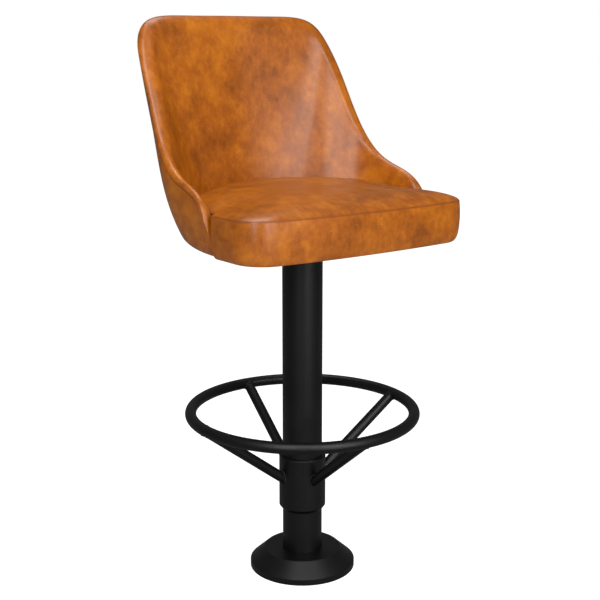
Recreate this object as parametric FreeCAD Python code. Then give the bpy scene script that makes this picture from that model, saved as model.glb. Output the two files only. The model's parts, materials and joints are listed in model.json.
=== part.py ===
"""Swivel bar stool: an upholstered bucket seat turning on a round column with a foot ring.

The origin is on the floor under the column's axis, +Z is up, and the sitter faces -Y.
All lengths are millimetres and angles are degrees.
"""
import FreeCAD
import Part
import math
import os
from FreeCAD import Vector

# General
clearance = 0.3
running_clearance = 0.05
overrun = 1.0

# Floor flange, welded to the column and hidden by the base cover
flange_radius = 92.0
flange_thickness = 9.5
flange_edge_chamfer = 1.5
anchor_hole_radius = 6.5
anchor_circle_radius = 70.0
anchor_count = 4
weld_leg = 6.0

# Base cover, a spun bell that slides on the column
cover_radius = 101.9
cover_rim_height = 11.4
cover_shoulder_radius = 73.8
cover_height = 36.5
cover_wall = 2.0
cover_column_clearance = 0.6

# Column
column_radius = 38.1
column_wall = 3.0
column_top_height = 612.0

# Footrest
sleeve_radius = 44.9
sleeve_bottom_height = 119.0
sleeve_top_height = 227.0
sleeve_bottom_cone_height = 7.0
sleeve_bottom_lip = 1.3
sleeve_top_chamfer = 1.6
sleeve_clearance = 0.35
ring_circle_radius = 213.9
ring_tube_radius = 10.7
ring_height = 315.2
ring_wall = 2.2
spoke_radius = 9.9
spoke_wall = 2.0
spoke_foot_height = 187.0
spoke_count = 4
footrest_turn = 4.6
set_screw_radius = 5.0
set_screw_length = 11.0
set_screw_socket_radius = 2.8
set_screw_socket_depth = 4.0
set_screw_point = 1.5
set_screw_spacing = 44.0

# Swivel bearing at the top of the column
spindle_radius = 12.7
spindle_thread_radius = 10.0
spindle_thread_length = 22.0
housing_depth = 46.0
housing_lip_thickness = 5.0
bush_wall = 3.3
bush_length = 16.0
ball_radius = 4.0
ball_count = 12
ball_circle_radius = 25.0
ball_sink = 1.2
race_half_width = 7.0
race_thickness = 3.5
cage_thickness = 3.0
cage_half_width = 5.6
hub_radius = 36.0
hub_wall = 2.8
hub_skirt_gap = 1.6
washer_radius = 18.0
washer_thickness = 3.0
nut_thickness = 12.0
nut_across_flats = 30.0
nut_flats = 6

# Swivel plate and its bolts
plate_side = 178.0
plate_corner_radius = 16.0
plate_thickness = 6.0
plate_bolt_spacing = 140.0
plate_hole_radius = 4.5
bolt_radius = 4.0
bolt_head_radius = 7.5
bolt_head_thickness = 5.3
bolt_washer_radius = 9.0
bolt_washer_thickness = 1.6
tee_nut_flange_radius = 11.0
tee_nut_flange_thickness = 1.5
tee_nut_barrel_radius = 5.3
tee_nut_barrel_length = 11.0

# Seat board, front rail and dust cover
seat_underside_height = 646.4
board_thickness = 15.0
board_edge_inset = 17.0
board_corner_radius = 34.0
rail_depth = 62.0
dust_cover_thickness = 0.8
dust_cover_margin = 14.0
dust_cover_opening_radius = 131.0

# Hide, the same on the cushion and on the back
hide_thickness = 1.6

# Seat cushion
cushion_half_width = 245.0
cushion_front = 193.0
cushion_front_bow = 9.0
cushion_corner_radius = 56.0
cushion_step_radius = 7.0
cushion_step_front = 67.4
cushion_seam_height = 723.0
cushion_crown_rise = 17.0
cushion_crown_tilt = 2.0
cushion_rear_gap = 4.0
cushion_side_gap = 1.6
cushion_rear_lean = 0.15
cushion_side_lean = 0.15
cushion_fullness = 0.9826
cushion_fullness_lean = 0.000612
cushion_hem_width = 28.0
oval_fullness = 1.028
band_rise_shares = (0.0, 0.09, 0.26, 0.62, 1.0)
band_size_shares = (0.955, 0.985, 1.0, 1.008, 1.0)
crown_rise_shares = (0.0, 0.22, 0.42, 0.66, 0.88, 1.0)
crown_tilt_shares = (0.0, 0.5, 0.8, 1.0, 1.0, 1.0)
crown_size_shares = (1.0, 0.968, 0.915, 0.80, 0.60, 0.33)

# Back and arms, one moulded plywood shell with padding, round the cushion
back_thickness = 30.0
arm_thickness = 20.0
thick_angle_share = 0.40
thin_angle_share = 0.92
rim_tight_share = 0.6
rim_soft_turn = 55.0
back_height = 1055.5
cushion_past_foot = 23.0
back_foot_half_width = cushion_half_width - cushion_past_foot
back_foot_depth = 244.0
back_foot_centre = 58.0
back_foot_radius = 20.0
rim_past_foot = 18.0
back_rim_half_width = back_foot_half_width + rim_past_foot
back_rim_depth = 247.0
back_bow = 8.0
back_swell = 10.0
plywood_thickness = 8.0
plywood_edge_gap = 0.9
plywood_front = 44.0
flange_width = 42.0
padding_foot = 26.5
outer_tail = 8.0
outer_seam_drop = 3.0
nose_strip = 7.6
station_count = 18
nose_angles = (58.0, 30.0, 12.0)
# Poles of half the rim, from the middle of the back to the foot of the arm: across, back, up
rim_pole_shares = (
    (0.000, 0.987, 1.001),
    (0.104, 0.987, 1.001),
    (0.402, 0.962, 0.999),
    (0.796, 0.936, 1.004),
    (0.885, 0.826, 0.883),
    (0.894, 0.611, 0.666),
    (0.936, 0.435, 0.449),
    (0.960, 0.203, 0.317),
    (0.970, -0.134, 0.284),
    (0.990, -0.259, 0.190),
    (0.994, -0.270, 0.110),
)
# Poles of the ribs at the same places: angle round the foot, bow outward, swell of the padding
rib_pole_shares = (
    (0.000, 0.96, 0.4),
    (0.058, 0.96, 0.4),
    (0.137, 1.06, 0.6),
    (0.282, 1.04, 0.9),
    (0.457, 1.27, 1.0),
    (0.542, 1.62, 1.0),
    (0.611, 1.84, 0.8),
    (0.739, 1.45, 0.5),
    (0.923, 0.60, 0.2),
    (1.006, 0.20, 0.0),
    (1.017, 0.00, 0.0),
)
flange_screw_angles = (10.0, 30.0, 50.0, 70.0)
flange_screw_radius = 2.4
flange_screw_head_radius = 4.6
flange_screw_head_depth = 2.6
flange_screw_length = 19.0
flange_screw_inset = 25.0

flatness = 0.01
cushion_loft_degree = 3
half_back = back_thickness / 2
half_arm = arm_thickness / 2
quarter_turn = 90.0
full_turn = 360.0
SPOKE_NAMES = ("front", "right", "rear", "left")
UP = Vector(0, 0, 1)
ORIGIN = Vector(0, 0, 0)


def polar(radius, angle, height=0.0):
    """Point at a radius and an angle from +X, seen from above."""
    turn = math.radians(angle)
    return Vector(radius * math.cos(turn), radius * math.sin(turn), height)


def turned(points):
    """Solid of revolution about Z from radius and height pairs."""
    corners = [Vector(radius, 0, height) for radius, height in points]
    face = Part.Face(Part.makePolygon(corners + corners[:1]))
    return face.revolve(ORIGIN, UP, full_turn)


def cylinder(radius, bottom, top, centre=ORIGIN):
    """Upright cylinder between two heights."""
    return Part.makeCylinder(radius, top - bottom, Vector(centre.x, centre.y, bottom), UP)


def ring(inner, outer, bottom, top, centre=ORIGIN):
    """Upright ring between two heights."""
    bore = cylinder(inner, bottom - overrun, top + overrun, centre)
    return cylinder(outer, bottom, top, centre).cut(bore)


def torus(circle_radius, tube_radius, height):
    """Torus about the Z axis."""
    return Part.makeTorus(circle_radius, tube_radius, Vector(0, 0, height), UP)


# Floor flange, weld and column

def floor_flange():
    """Round steel plate with anchor holes; the column is welded on top."""
    chamfer_foot = flange_thickness - flange_edge_chamfer
    plate = turned([(0, 0), (flange_radius, 0), (flange_radius, chamfer_foot),
                    (flange_radius - flange_edge_chamfer, flange_thickness), (0, flange_thickness)])
    for index in range(anchor_count):
        centre = polar(anchor_circle_radius, full_turn * (index + 0.5) / anchor_count)
        plate = plate.cut(cylinder(anchor_hole_radius, -overrun, flange_thickness + overrun, centre))
    return plate


def column_weld():
    """Fillet weld round the foot of the column."""
    return turned([(column_radius, flange_thickness), (column_radius + weld_leg, flange_thickness),
                   (column_radius, flange_thickness + weld_leg)])


def column_tube():
    """Round steel tube from the flange to the swivel."""
    return ring(column_radius - column_wall, column_radius, flange_thickness, column_top_height)


def base_cover():
    """Spun bell over the flange: an upright rim, a cone and a flat top with the column's hole."""
    slope = math.atan2(cover_height - cover_rim_height, cover_radius - cover_shoulder_radius)
    half_slope = math.tan(slope / 2)
    hole = column_radius + cover_column_clearance
    inner_shoulder = cover_shoulder_radius - cover_wall * half_slope
    inner_rim_top = cover_rim_height - cover_wall * math.tan(math.pi / 4 - slope / 2)
    return turned([(cover_radius - cover_wall, 0), (cover_radius, 0), (cover_radius, cover_rim_height),
                   (cover_shoulder_radius, cover_height), (hole, cover_height),
                   (hole, cover_height - cover_wall), (inner_shoulder, cover_height - cover_wall),
                   (cover_radius - cover_wall, inner_rim_top)])


# Footrest

sleeve_bore_radius = column_radius + sleeve_clearance
footrest_front_angle = -quarter_turn - footrest_turn


def set_screw_heights():
    """Heights of the two set screws, about the middle of the sleeve."""
    middle = (sleeve_bottom_height + sleeve_top_height) / 2
    return (middle - set_screw_spacing / 2, middle + set_screw_spacing / 2)


def set_screw_axis(height):
    """Foot point and direction of a set screw at the rear, between two spokes."""
    angle = footrest_front_angle + full_turn / 2 - full_turn / spoke_count / 2
    foot = polar(column_radius + clearance, angle, height)
    return foot, polar(1, angle)


def footrest_sleeve():
    """Thick collar round the column with a coned foot, a chamfered top and two tapped holes."""
    cone_top = sleeve_bottom_height + sleeve_bottom_cone_height
    chamfer_foot = sleeve_top_height - sleeve_top_chamfer
    body = turned([(sleeve_bore_radius, sleeve_bottom_height),
                   (sleeve_bore_radius + sleeve_bottom_lip, sleeve_bottom_height),
                   (sleeve_radius, cone_top), (sleeve_radius, chamfer_foot),
                   (sleeve_radius - sleeve_top_chamfer, sleeve_top_height),
                   (sleeve_bore_radius, sleeve_top_height)])
    for height in set_screw_heights():
        foot, outward = set_screw_axis(height)
        body = body.cut(Part.makeCylinder(set_screw_radius, sleeve_radius, foot, outward))
    return body


def footrest_ring():
    """Closed ring of round tube."""
    return torus(ring_circle_radius, ring_tube_radius, ring_height).cut(
        torus(ring_circle_radius, ring_tube_radius - ring_wall, ring_height))


def spoke(angle):
    """Sloping tube from the sleeve up to the ring, coped to both."""
    foot = polar(sleeve_radius, angle, spoke_foot_height)
    head = polar(ring_circle_radius, angle, ring_height)
    along = (head - foot).normalize()
    start = foot - along * (sleeve_radius - sleeve_bore_radius)
    length = (head - start).Length
    tube = Part.makeCylinder(spoke_radius, length, start, along)
    bore = Part.makeCylinder(spoke_radius - spoke_wall, length + overrun, start - along * overrun, along)
    sleeve_space = cylinder(sleeve_radius, sleeve_bottom_height, sleeve_top_height)
    return tube.cut(bore).cut(sleeve_space).cut(torus(ring_circle_radius, ring_tube_radius, ring_height))


def set_screws():
    """Two socket set screws that clamp the sleeve; their points stop just off the column."""
    screws = []
    for height in set_screw_heights():
        foot, outward = set_screw_axis(height)
        point = Part.makeCone(set_screw_radius - set_screw_point, set_screw_radius, set_screw_point,
                              foot, outward)
        shank = Part.makeCylinder(set_screw_radius, set_screw_length - set_screw_point,
                                  foot + outward * set_screw_point, outward)
        socket = Part.makeCylinder(set_screw_socket_radius, set_screw_socket_depth + overrun,
                                   foot + outward * (set_screw_length - set_screw_socket_depth), outward)
        screws.append(point.fuse(shank).removeSplitter().cut(socket))
    return Part.makeCompound(screws)


# Swivel bearing

housing_bottom_height = column_top_height - housing_depth
lip_top_height = column_top_height + housing_lip_thickness
race_inner_radius = ball_circle_radius - race_half_width
race_outer_radius = ball_circle_radius + race_half_width
ball_height = lip_top_height + race_thickness + ball_radius - ball_sink
upper_race_height = ball_height + ball_radius - ball_sink
hub_bottom_height = upper_race_height + race_thickness
board_bottom_height = seat_underside_height + hide_thickness + clearance + plywood_thickness
board_top_height = board_bottom_height + board_thickness
plate_top_height = board_bottom_height
plate_bottom_height = plate_top_height - plate_thickness
spindle_shoulder_height = housing_bottom_height - clearance
spindle_bottom_height = spindle_shoulder_height - spindle_thread_length


def bearing_housing():
    """Turned cup in the top of the column, with a lip on the tube's end."""
    body_radius = column_radius - column_wall - running_clearance
    bore = spindle_radius + bush_wall
    return turned([(bore, housing_bottom_height), (body_radius, housing_bottom_height),
                   (body_radius, column_top_height), (column_radius, column_top_height),
                   (column_radius, lip_top_height), (bore, lip_top_height)])


def spindle_bushes():
    """Two plain bushes in the housing that guide the spindle."""
    bushes = []
    for bottom in (housing_bottom_height, lip_top_height - bush_length):
        inner = spindle_radius + running_clearance
        outer = spindle_radius + bush_wall - running_clearance
        bushes.append(ring(inner, outer, bottom, bottom + bush_length))
    return Part.makeCompound(bushes)


def race(bottom):
    """Hardened ring with a groove for the balls."""
    groove = torus(ball_circle_radius, ball_radius + clearance, ball_height)
    return ring(race_inner_radius, race_outer_radius, bottom, bottom + race_thickness).cut(groove)


def ball_centres():
    """Centres of the balls, evenly round the race."""
    return [polar(ball_circle_radius, full_turn * index / ball_count, ball_height)
            for index in range(ball_count)]


def bearing_balls():
    """The steel balls of the thrust bearing."""
    return Part.makeCompound([Part.makeSphere(ball_radius, centre) for centre in ball_centres()])


def ball_cage():
    """Flat ring with a hole for each ball."""
    bottom = ball_height - cage_thickness / 2
    top = ball_height + cage_thickness / 2
    cage = ring(ball_circle_radius - cage_half_width, ball_circle_radius + cage_half_width, bottom, top)
    for centre in ball_centres():
        cage = cage.cut(cylinder(ball_radius + clearance, bottom - overrun, top + overrun, centre))
    return cage


def swivel_hub():
    """Turned cap on the upper race, with a skirt that hides the bearing."""
    skirt_foot = lip_top_height + hub_skirt_gap
    bore = spindle_radius + running_clearance
    return turned([(bore, hub_bottom_height), (hub_radius - hub_wall, hub_bottom_height),
                   (hub_radius - hub_wall, skirt_foot), (hub_radius, skirt_foot),
                   (hub_radius, plate_bottom_height), (bore, plate_bottom_height)])


def swivel_spindle():
    """Turned steel pin, welded into the plate and threaded at its foot."""
    return turned([(0, spindle_bottom_height), (spindle_thread_radius, spindle_bottom_height),
                   (spindle_thread_radius, spindle_shoulder_height),
                   (spindle_radius, spindle_shoulder_height), (spindle_radius, plate_top_height),
                   (0, plate_top_height)])


def spindle_washer():
    """Washer that keeps the spindle in the housing."""
    top = spindle_shoulder_height
    return ring(spindle_thread_radius + running_clearance, washer_radius, top - washer_thickness, top)


def hexagon(across_flats, bottom, top):
    """Upright hexagonal prism about the Z axis."""
    radius = across_flats / 2 / math.cos(math.pi / nut_flats)
    corners = [polar(radius, full_turn * index / nut_flats, bottom) for index in range(nut_flats)]
    return Part.Face(Part.makePolygon(corners + corners[:1])).extrude(Vector(0, 0, top - bottom))


def spindle_nut():
    """Lock nut under the washer."""
    top = spindle_shoulder_height - washer_thickness
    bottom = top - nut_thickness
    bore = cylinder(spindle_thread_radius + running_clearance, bottom - overrun, top + overrun)
    return hexagon(nut_across_flats, bottom, top).cut(bore)


# Swivel plate, bolts and seat board

def plate_bolt_centres():
    """The four bolt places under the seat board."""
    half = plate_bolt_spacing / 2
    return [Vector(side_x * half, side_y * half, 0) for side_x in (-1, 1) for side_y in (-1, 1)]


def swivel_plate():
    """Square steel plate with rounded corners that carries the seat board."""
    half = plate_side / 2
    blank = Part.makeBox(plate_side, plate_side, plate_thickness,
                         Vector(-half, -half, plate_bottom_height))
    uprights = [edge for edge in blank.Edges if abs(edge.tangentAt(edge.FirstParameter).z) > 0.5]
    plate = blank.makeFillet(plate_corner_radius, uprights)
    low = plate_bottom_height - overrun
    high = plate_top_height + overrun
    plate = plate.cut(cylinder(spindle_radius + running_clearance, low, high))
    for centre in plate_bolt_centres():
        plate = plate.cut(cylinder(plate_hole_radius, low, high, centre))
    return plate


def plate_bolts():
    """Four hexagon bolts with washers, up through the plate into the board."""
    bolts = []
    for centre in plate_bolt_centres():
        washer_bottom = plate_bottom_height - bolt_washer_thickness
        head_bottom = washer_bottom - bolt_head_thickness
        tip = board_top_height - clearance
        head = hexagon(2 * bolt_head_radius * math.cos(math.pi / nut_flats), head_bottom, washer_bottom)
        washer = ring(bolt_radius + running_clearance, bolt_washer_radius,
                      washer_bottom, plate_bottom_height, centre)
        head.translate(centre)
        bolt = head.fuse(cylinder(bolt_radius, washer_bottom, tip, centre))
        bolts.extend([bolt, washer])
    return Part.makeCompound(bolts)


def tee_nuts():
    """Four tee nuts, sunk flush into the top of the board."""
    nuts = []
    top = board_top_height
    for centre in plate_bolt_centres():
        flange = cylinder(tee_nut_flange_radius, top - tee_nut_flange_thickness, top, centre)
        barrel = cylinder(tee_nut_barrel_radius, top - tee_nut_barrel_length, top, centre)
        bore = cylinder(bolt_radius + running_clearance, top - tee_nut_barrel_length - overrun,
                        top + overrun, centre)
        nuts.append(flange.fuse(barrel).cut(bore))
    return Part.makeCompound(nuts)


# Outlines seen from above

def arc_chain(points):
    """Arcs through points taken in threes, end to end."""
    return [Part.Arc(points[index], points[index + 1], points[index + 2]).toShape()
            for index in range(0, len(points) - 2, 2)]


def oval_point(half_width, depth, angle, fullness=oval_fullness):
    """Point on the rear oval of the seat, at an angle from the right side."""
    turn = math.radians(angle)
    full = 1 + (fullness - 1) * math.sin(2 * turn) ** 2
    return Vector(half_width * full * math.cos(turn),
                  depth * full * math.sin(turn) - back_foot_centre, 0)


class Outline:
    """Seat outline from above: a wide front, a step behind each arm's end and an oval rear."""

    rear_arcs = 6

    def __init__(self, half_width, front, corner, step_y, step, oval_x, oval_y, fullness=oval_fullness):
        root = 1 - math.sqrt(0.5)
        self.nose = Vector(0, front - cushion_front_bow, 0)
        self.right = [
            Vector(half_width - corner, front, 0),
            Vector(half_width - corner * root, front + corner * root, 0),
            Vector(half_width, front + corner, 0),
            Vector(half_width, step_y - step, 0),
            Vector(half_width - step * root, step_y - step * root, 0),
            Vector(half_width - step, step_y, 0),
            Vector(oval_x, step_y, 0)]
        count = 2 * self.rear_arcs
        self.rear = [oval_point(oval_x, oval_y, full_turn / 2 * index / count, fullness)
                     for index in range(count + 1)]

    def wire(self, height, size=1.0, tilt=0.0):
        """Closed wire at a height, sized about the step line and tilted up to the rear."""
        slope = math.tan(math.radians(tilt))
        step_y = self.right[-1].y

        def place(point, side=1):
            back = step_y + (point.y - step_y) * size
            return Vector(side * point.x * size, back, height + (back - self.nose.y) * slope)

        right = [place(point) for point in self.right]
        left = [place(point, -1) for point in self.right]
        rear = [place(point) for point in self.rear]
        edges = [Part.Arc(left[0], place(self.nose), right[0]).toShape(),
                 Part.Arc(*right[0:3]).toShape(),
                 Part.makeLine(right[2], right[3]),
                 Part.Arc(*right[3:6]).toShape(),
                 Part.makeLine(right[5], right[6]),
                 Part.makeLine(right[6], rear[0])]
        edges += arc_chain(rear)
        edges += [Part.makeLine(rear[-1], left[6]),
                  Part.makeLine(left[6], left[5]),
                  Part.Arc(*left[5:2:-1]).toShape(),
                  Part.makeLine(left[3], left[2]),
                  Part.Arc(*left[2::-1]).toShape()]
        return Part.Wire(edges)

    def prism(self, bottom, top):
        """Straight slab between two heights."""
        return Part.Face(self.wire(bottom)).extrude(Vector(0, 0, top - bottom))


# Seat board and what is fixed to it

def board_outline(grow=0.0):
    """Outline of the board: behind the arms' ends it stops at the bend of the plywood."""
    edge = back_thickness / 2 - back_foot_radius - clearance
    return Outline(cushion_half_width - board_edge_inset + grow, -cushion_front + board_edge_inset - grow,
                   board_corner_radius + grow, -cushion_step_front - hide_thickness - clearance + grow,
                   cushion_step_radius, back_foot_half_width + edge + grow,
                   back_foot_depth + edge + grow)


def flange_screw_places():
    """Places of the screws that hold the plywood shell's flange to the board."""
    places = []
    for angle in flange_screw_angles:
        place = oval_point(back_foot_half_width - flange_screw_inset,
                           back_foot_depth - flange_screw_inset, quarter_turn - angle)
        places += [place, Vector(-place.x, place.y, 0)]
    return places


def flange_screw(place):
    """One countersunk wood screw, driven up."""
    bottom = board_bottom_height - plywood_thickness
    head = Part.makeCone(flange_screw_head_radius, flange_screw_radius, flange_screw_head_depth,
                         Vector(place.x, place.y, bottom), UP)
    return head.fuse(cylinder(flange_screw_radius, bottom, bottom + flange_screw_length, place))


def flange_screws():
    """The screws of the plywood shell's flange."""
    return Part.makeCompound([flange_screw(place) for place in flange_screw_places()])


def seat_board():
    """Plywood board with sunk tee nuts and screw holes."""
    board = board_outline().prism(board_bottom_height, board_top_height)
    low = board_bottom_height - overrun
    high = board_top_height + overrun
    for centre in plate_bolt_centres():
        board = board.cut(cylinder(tee_nut_barrel_radius, low, high, centre))
        board = board.cut(cylinder(tee_nut_flange_radius, board_top_height - tee_nut_flange_thickness,
                                   high, centre))
    for place in flange_screw_places():
        board = board.cut(flange_screw(place))
    return board


def front_rail():
    """Strip under the front of the board, as thick as the plywood shell's flange."""
    slab = board_outline().prism(board_bottom_height - plywood_thickness, board_bottom_height)
    front = -cushion_front - cushion_front_bow
    side = 2 * cushion_half_width
    zone = Part.makeBox(side, rail_depth + cushion_front_bow + board_edge_inset, board_thickness,
                        Vector(-side / 2, front, board_bottom_height - plywood_thickness))
    return slab.common(zone)


def dust_cover():
    """Thin cloth under the seat with a round opening for the swivel plate."""
    edge = back_thickness / 2 - back_foot_radius - dust_cover_margin
    front = -cushion_front + board_edge_inset + dust_cover_margin
    outline = Outline(cushion_half_width - board_edge_inset - dust_cover_margin, front, board_corner_radius,
                      -cushion_step_front, cushion_step_radius,
                      back_foot_half_width + edge, back_foot_depth + edge)
    top = seat_underside_height
    cloth = outline.prism(top - dust_cover_thickness, top)
    opening = cylinder(dust_cover_opening_radius, top - dust_cover_thickness - overrun, top + overrun)
    return cloth.cut(opening)


# Seat cushion

def cushion_outline(height, inset):
    """Outline of the cushion at a height; its rear follows the leaning shell."""
    above = height - seat_underside_height
    rear_inner = half_back + cushion_rear_gap + inset
    side_inner = arm_thickness - half_back + cushion_side_gap + inset
    return Outline(cushion_half_width - inset, -cushion_front + inset, cushion_corner_radius - inset,
                   -cushion_step_front - inset, cushion_step_radius - inset,
                   back_foot_half_width - side_inner + cushion_side_lean * above,
                   back_foot_depth - rear_inner + cushion_rear_lean * above,
                   cushion_fullness + cushion_fullness_lean * above)


def cushion_body(inset=0.0, floor=0.0):
    """Lower part of the cushion as one solid, from its hem to the seam."""
    bottom = seat_underside_height
    rise = cushion_seam_height - bottom
    wires = []
    for share, size in zip(band_rise_shares, band_size_shares):
        height = max(bottom + rise * share, bottom + floor)
        wires.append(cushion_outline(height, inset).wire(height, size))
    return Part.makeLoft(wires, True, False, False, cushion_loft_degree)


def cushion_crown(drop=0.0):
    """Crowned upper part of the cushion as one solid, above the seam; a drop gives its underside."""
    outline = cushion_outline(cushion_seam_height, 0)
    wires = []
    for share, size, tilt_share in zip(crown_rise_shares, crown_size_shares, crown_tilt_shares):
        height = cushion_seam_height + cushion_crown_rise * share
        wires.append(outline.wire(height, size, cushion_crown_tilt * tilt_share))
    crown = Part.makeLoft(wires, True, False, False, cushion_loft_degree)
    if drop:
        crown.translate(Vector(0, 0, -drop))
        side = 2 * cushion_half_width
        above = Part.makeBox(side, side, side, Vector(-side / 2, -side / 2, cushion_seam_height))
        crown = crown.common(above)
    return crown


def over_board_zone():
    """Space behind the arms' ends that the cushion keeps out of, up to the top of the board."""
    side = 2 * cushion_half_width
    bottom = seat_underside_height - overrun
    return Part.makeBox(side, side, board_top_height + clearance - bottom,
                        Vector(-side / 2, -cushion_step_front - clearance, bottom))


def board_space():
    """Space of the board and the rail, with a clearance."""
    bottom = board_bottom_height - plywood_thickness - clearance
    return board_outline(clearance).prism(bottom, board_top_height + clearance)


def cushion_band():
    """Hide round the cushion's sides, turned in under the front rail."""
    band = cushion_body().cut(cushion_body(hide_thickness, hide_thickness)).cut(board_space())
    hem = board_outline(-cushion_hem_width + board_edge_inset).prism(
        seat_underside_height - overrun, seat_underside_height + hide_thickness + overrun)
    return band.cut(hem).cut(over_board_zone())


def cushion_panel():
    """Hide over the cushion's crown, sewn to the band at the seam."""
    return cushion_crown().cut(cushion_crown(hide_thickness))


def cushion_foam():
    """Foam block over the board, round its front edge and up to the crown."""
    inset = hide_thickness + clearance
    foam = cushion_body(inset, inset).fuse(cushion_crown(inset))
    return foam.cut(board_space()).cut(over_board_zone())


# Back and arms

root_half = math.sqrt(0.5)
bend_cover_radius = back_foot_radius - hide_thickness
soft_turn = math.radians(rim_soft_turn)


class Station:
    """One rib of the back: its foot, its rim and the directions along and across it."""

    def __init__(self, rim, rib, side, thinning=1.0):
        angle = math.radians(quarter_turn * rib.x)
        self.foot = Vector(side * back_foot_half_width * math.sin(angle),
                           back_foot_depth * math.cos(angle) - back_foot_centre, seat_underside_height)
        self.rim = Vector(side * rim.x, rim.y, rim.z)
        self.bow = back_bow * rib.y
        self.swell = back_swell * rib.z
        self.thinning = thinning
        share = (rib.x - thick_angle_share) / (thin_angle_share - thick_angle_share)
        share = min(max(share, 0), 1)
        self.half = half_back + (half_arm - half_back) * share * share * (3 - 2 * share)
        self.tight = self.half * rim_tight_share
        self.soft = (2 * self.half - self.tight * (1 + math.cos(soft_turn))) / (1 - math.cos(soft_turn))
        self.along = (self.rim - self.foot).normalize()
        self.length = (self.rim - self.foot).Length
        self.outward = ORIGIN
        self.level = ORIGIN

    def face_outward(self, before, after):
        """Set the outward directions, at the rim and level at the foot, from the neighbours."""
        round_back = (after.rim + after.foot) - (before.rim + before.foot)
        round_back.z = 0
        self.outward = self.along.cross(round_back).normalize()
        self.level = self.outward - self.along * (self.outward.z / self.along.z)
        self.level.normalize()

    def at(self, across, along):
        """Point at a distance outward of the padded shell's middle and a distance up the rib."""
        share = along / self.length
        turned_share = max(0, along - back_foot_radius) / (self.length - back_foot_radius)
        direction = self.level + (self.outward - self.level) * turned_share
        middle = half_back - self.half
        bowed = middle + across * self.thinning + self.bow * 4 * share * (1 - share)
        return self.foot + self.along * along + direction * bowed

    def inside(self, across, along):
        """Point like at(), with the swell of the padding added inward."""
        share = along / self.face_top()
        return self.at(across, along) - self.outward * (self.swell * 4 * share * (1 - share))

    def high(self):
        """Distance up the rib to the centre of the rim's tight outer bend."""
        return self.length - self.tight * self.thinning

    def low(self):
        """Distance up the rib to the centre of the rim's soft inner bend."""
        return self.high() - (self.soft - self.tight) * math.sin(soft_turn) * self.thinning

    def face_turn(self):
        """Lean of the inner face where the rim's soft bend takes over."""
        return math.atan(4 * self.swell / self.low())

    def face_top(self):
        """Distance up the rib to the end of the inner face."""
        return self.low() + self.soft * math.sin(self.face_turn()) * self.thinning

    def face(self, inset, foot):
        """Run up the inner face of a layer that lies an inset deep."""
        inner = self.half - inset
        top = self.on_soft(inset, self.face_turn())
        return [self.inside(-inner, foot), self.inside(-inner, (foot + self.face_top()) / 2), top]

    def on_soft(self, inset, turn):
        """Point on the rim's soft inner bend, at a turn from its level radius."""
        radius = self.soft - inset
        return self.at(self.soft - self.half - radius * math.cos(turn),
                       self.low() + radius * math.sin(turn) * self.thinning)

    def on_tight(self, inset, turn):
        """Point on the rim's tight outer bend, at a turn from its level inward radius."""
        radius = self.tight - inset
        return self.at(self.half - self.tight - radius * math.cos(turn),
                       self.high() + radius * math.sin(turn) * self.thinning)

    def side(self, place, across, low, high):
        """Run up the rib at one distance from its middle line."""
        return [place(across, low), place(across, (low + high) / 2), place(across, high)]

    def roll(self, inset):
        """Rounded rim of a layer that lies an inset deep, from its inner face to its outer side."""
        start = self.face_turn()
        return [[self.on_soft(inset, start), self.on_soft(inset, (start + soft_turn) / 2),
                 self.on_soft(inset, soft_turn)],
                [self.on_tight(inset, soft_turn), self.on_tight(inset, (soft_turn + math.pi) / 2),
                 self.on_tight(inset, math.pi)]]

    def bend_centre(self):
        """Distance outward to the centre of the foot's bend."""
        return self.half - back_foot_radius

    def bend(self, radius):
        """Rounded foot of a layer, from its underside out to its outer side."""
        lean = radius * root_half
        centre = self.bend_centre()
        return [self.at(centre, back_foot_radius - radius),
                self.at(centre + lean, back_foot_radius - lean),
                self.at(centre + radius, back_foot_radius)]


def reverse(runs):
    """The same runs, followed backwards."""
    return [run[::-1] for run in reversed(runs)]


def run_edge(run):
    """Edge along a run: an arc through three points, or a line where they are straight."""
    if len(run) == 2 or (run[1] - (run[0] + run[2]) / 2).Length < flatness:
        return Part.makeLine(run[0], run[-1])
    return Part.Arc(*run).toShape()


def wire_through(runs):
    """Closed wire along runs, with straight edges over the gaps between them."""
    edges = []
    for run, following in zip(runs, runs[1:] + runs[:1]):
        edges.append(run_edge(run))
        if (following[0] - run[-1]).Length > flatness:
            edges.append(Part.makeLine(run[-1], following[0]))
    return Part.Wire(edges)


def pole_curve(points):
    """Smooth curve drawn by its poles."""
    curve = Part.BSplineCurve()
    curve.buildFromPoles(points)
    return curve


def rim_and_ribs():
    """Curves of half the rim and of the ribs' measures, with one parameter for both."""
    rise = back_height - seat_underside_height
    rim = pole_curve([Vector(back_rim_half_width * across, back_rim_depth * back,
                             seat_underside_height + rise * up) for across, back, up in rim_pole_shares])
    return rim, pole_curve([Vector(*shares) for shares in rib_pole_shares])


def rim_distance_behind(gap):
    """Distance along half the rim to the rib that stands that far behind the arm's end."""
    rim, rib = rim_and_ribs()

    def stands(distance):
        at = rim.parameterAtDistance(distance, rim.FirstParameter)
        station = Station(rim.value(at), rib.value(at), 1)
        return (station.foot.y + station.rim.y) / 2

    near = rim.length() / 2
    far = rim.length()
    wanted = stands(far) + gap
    while far - near > flatness:
        middle = (near + far) / 2
        if stands(middle) > wanted:
            near = middle
        else:
            far = middle
    return far


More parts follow.
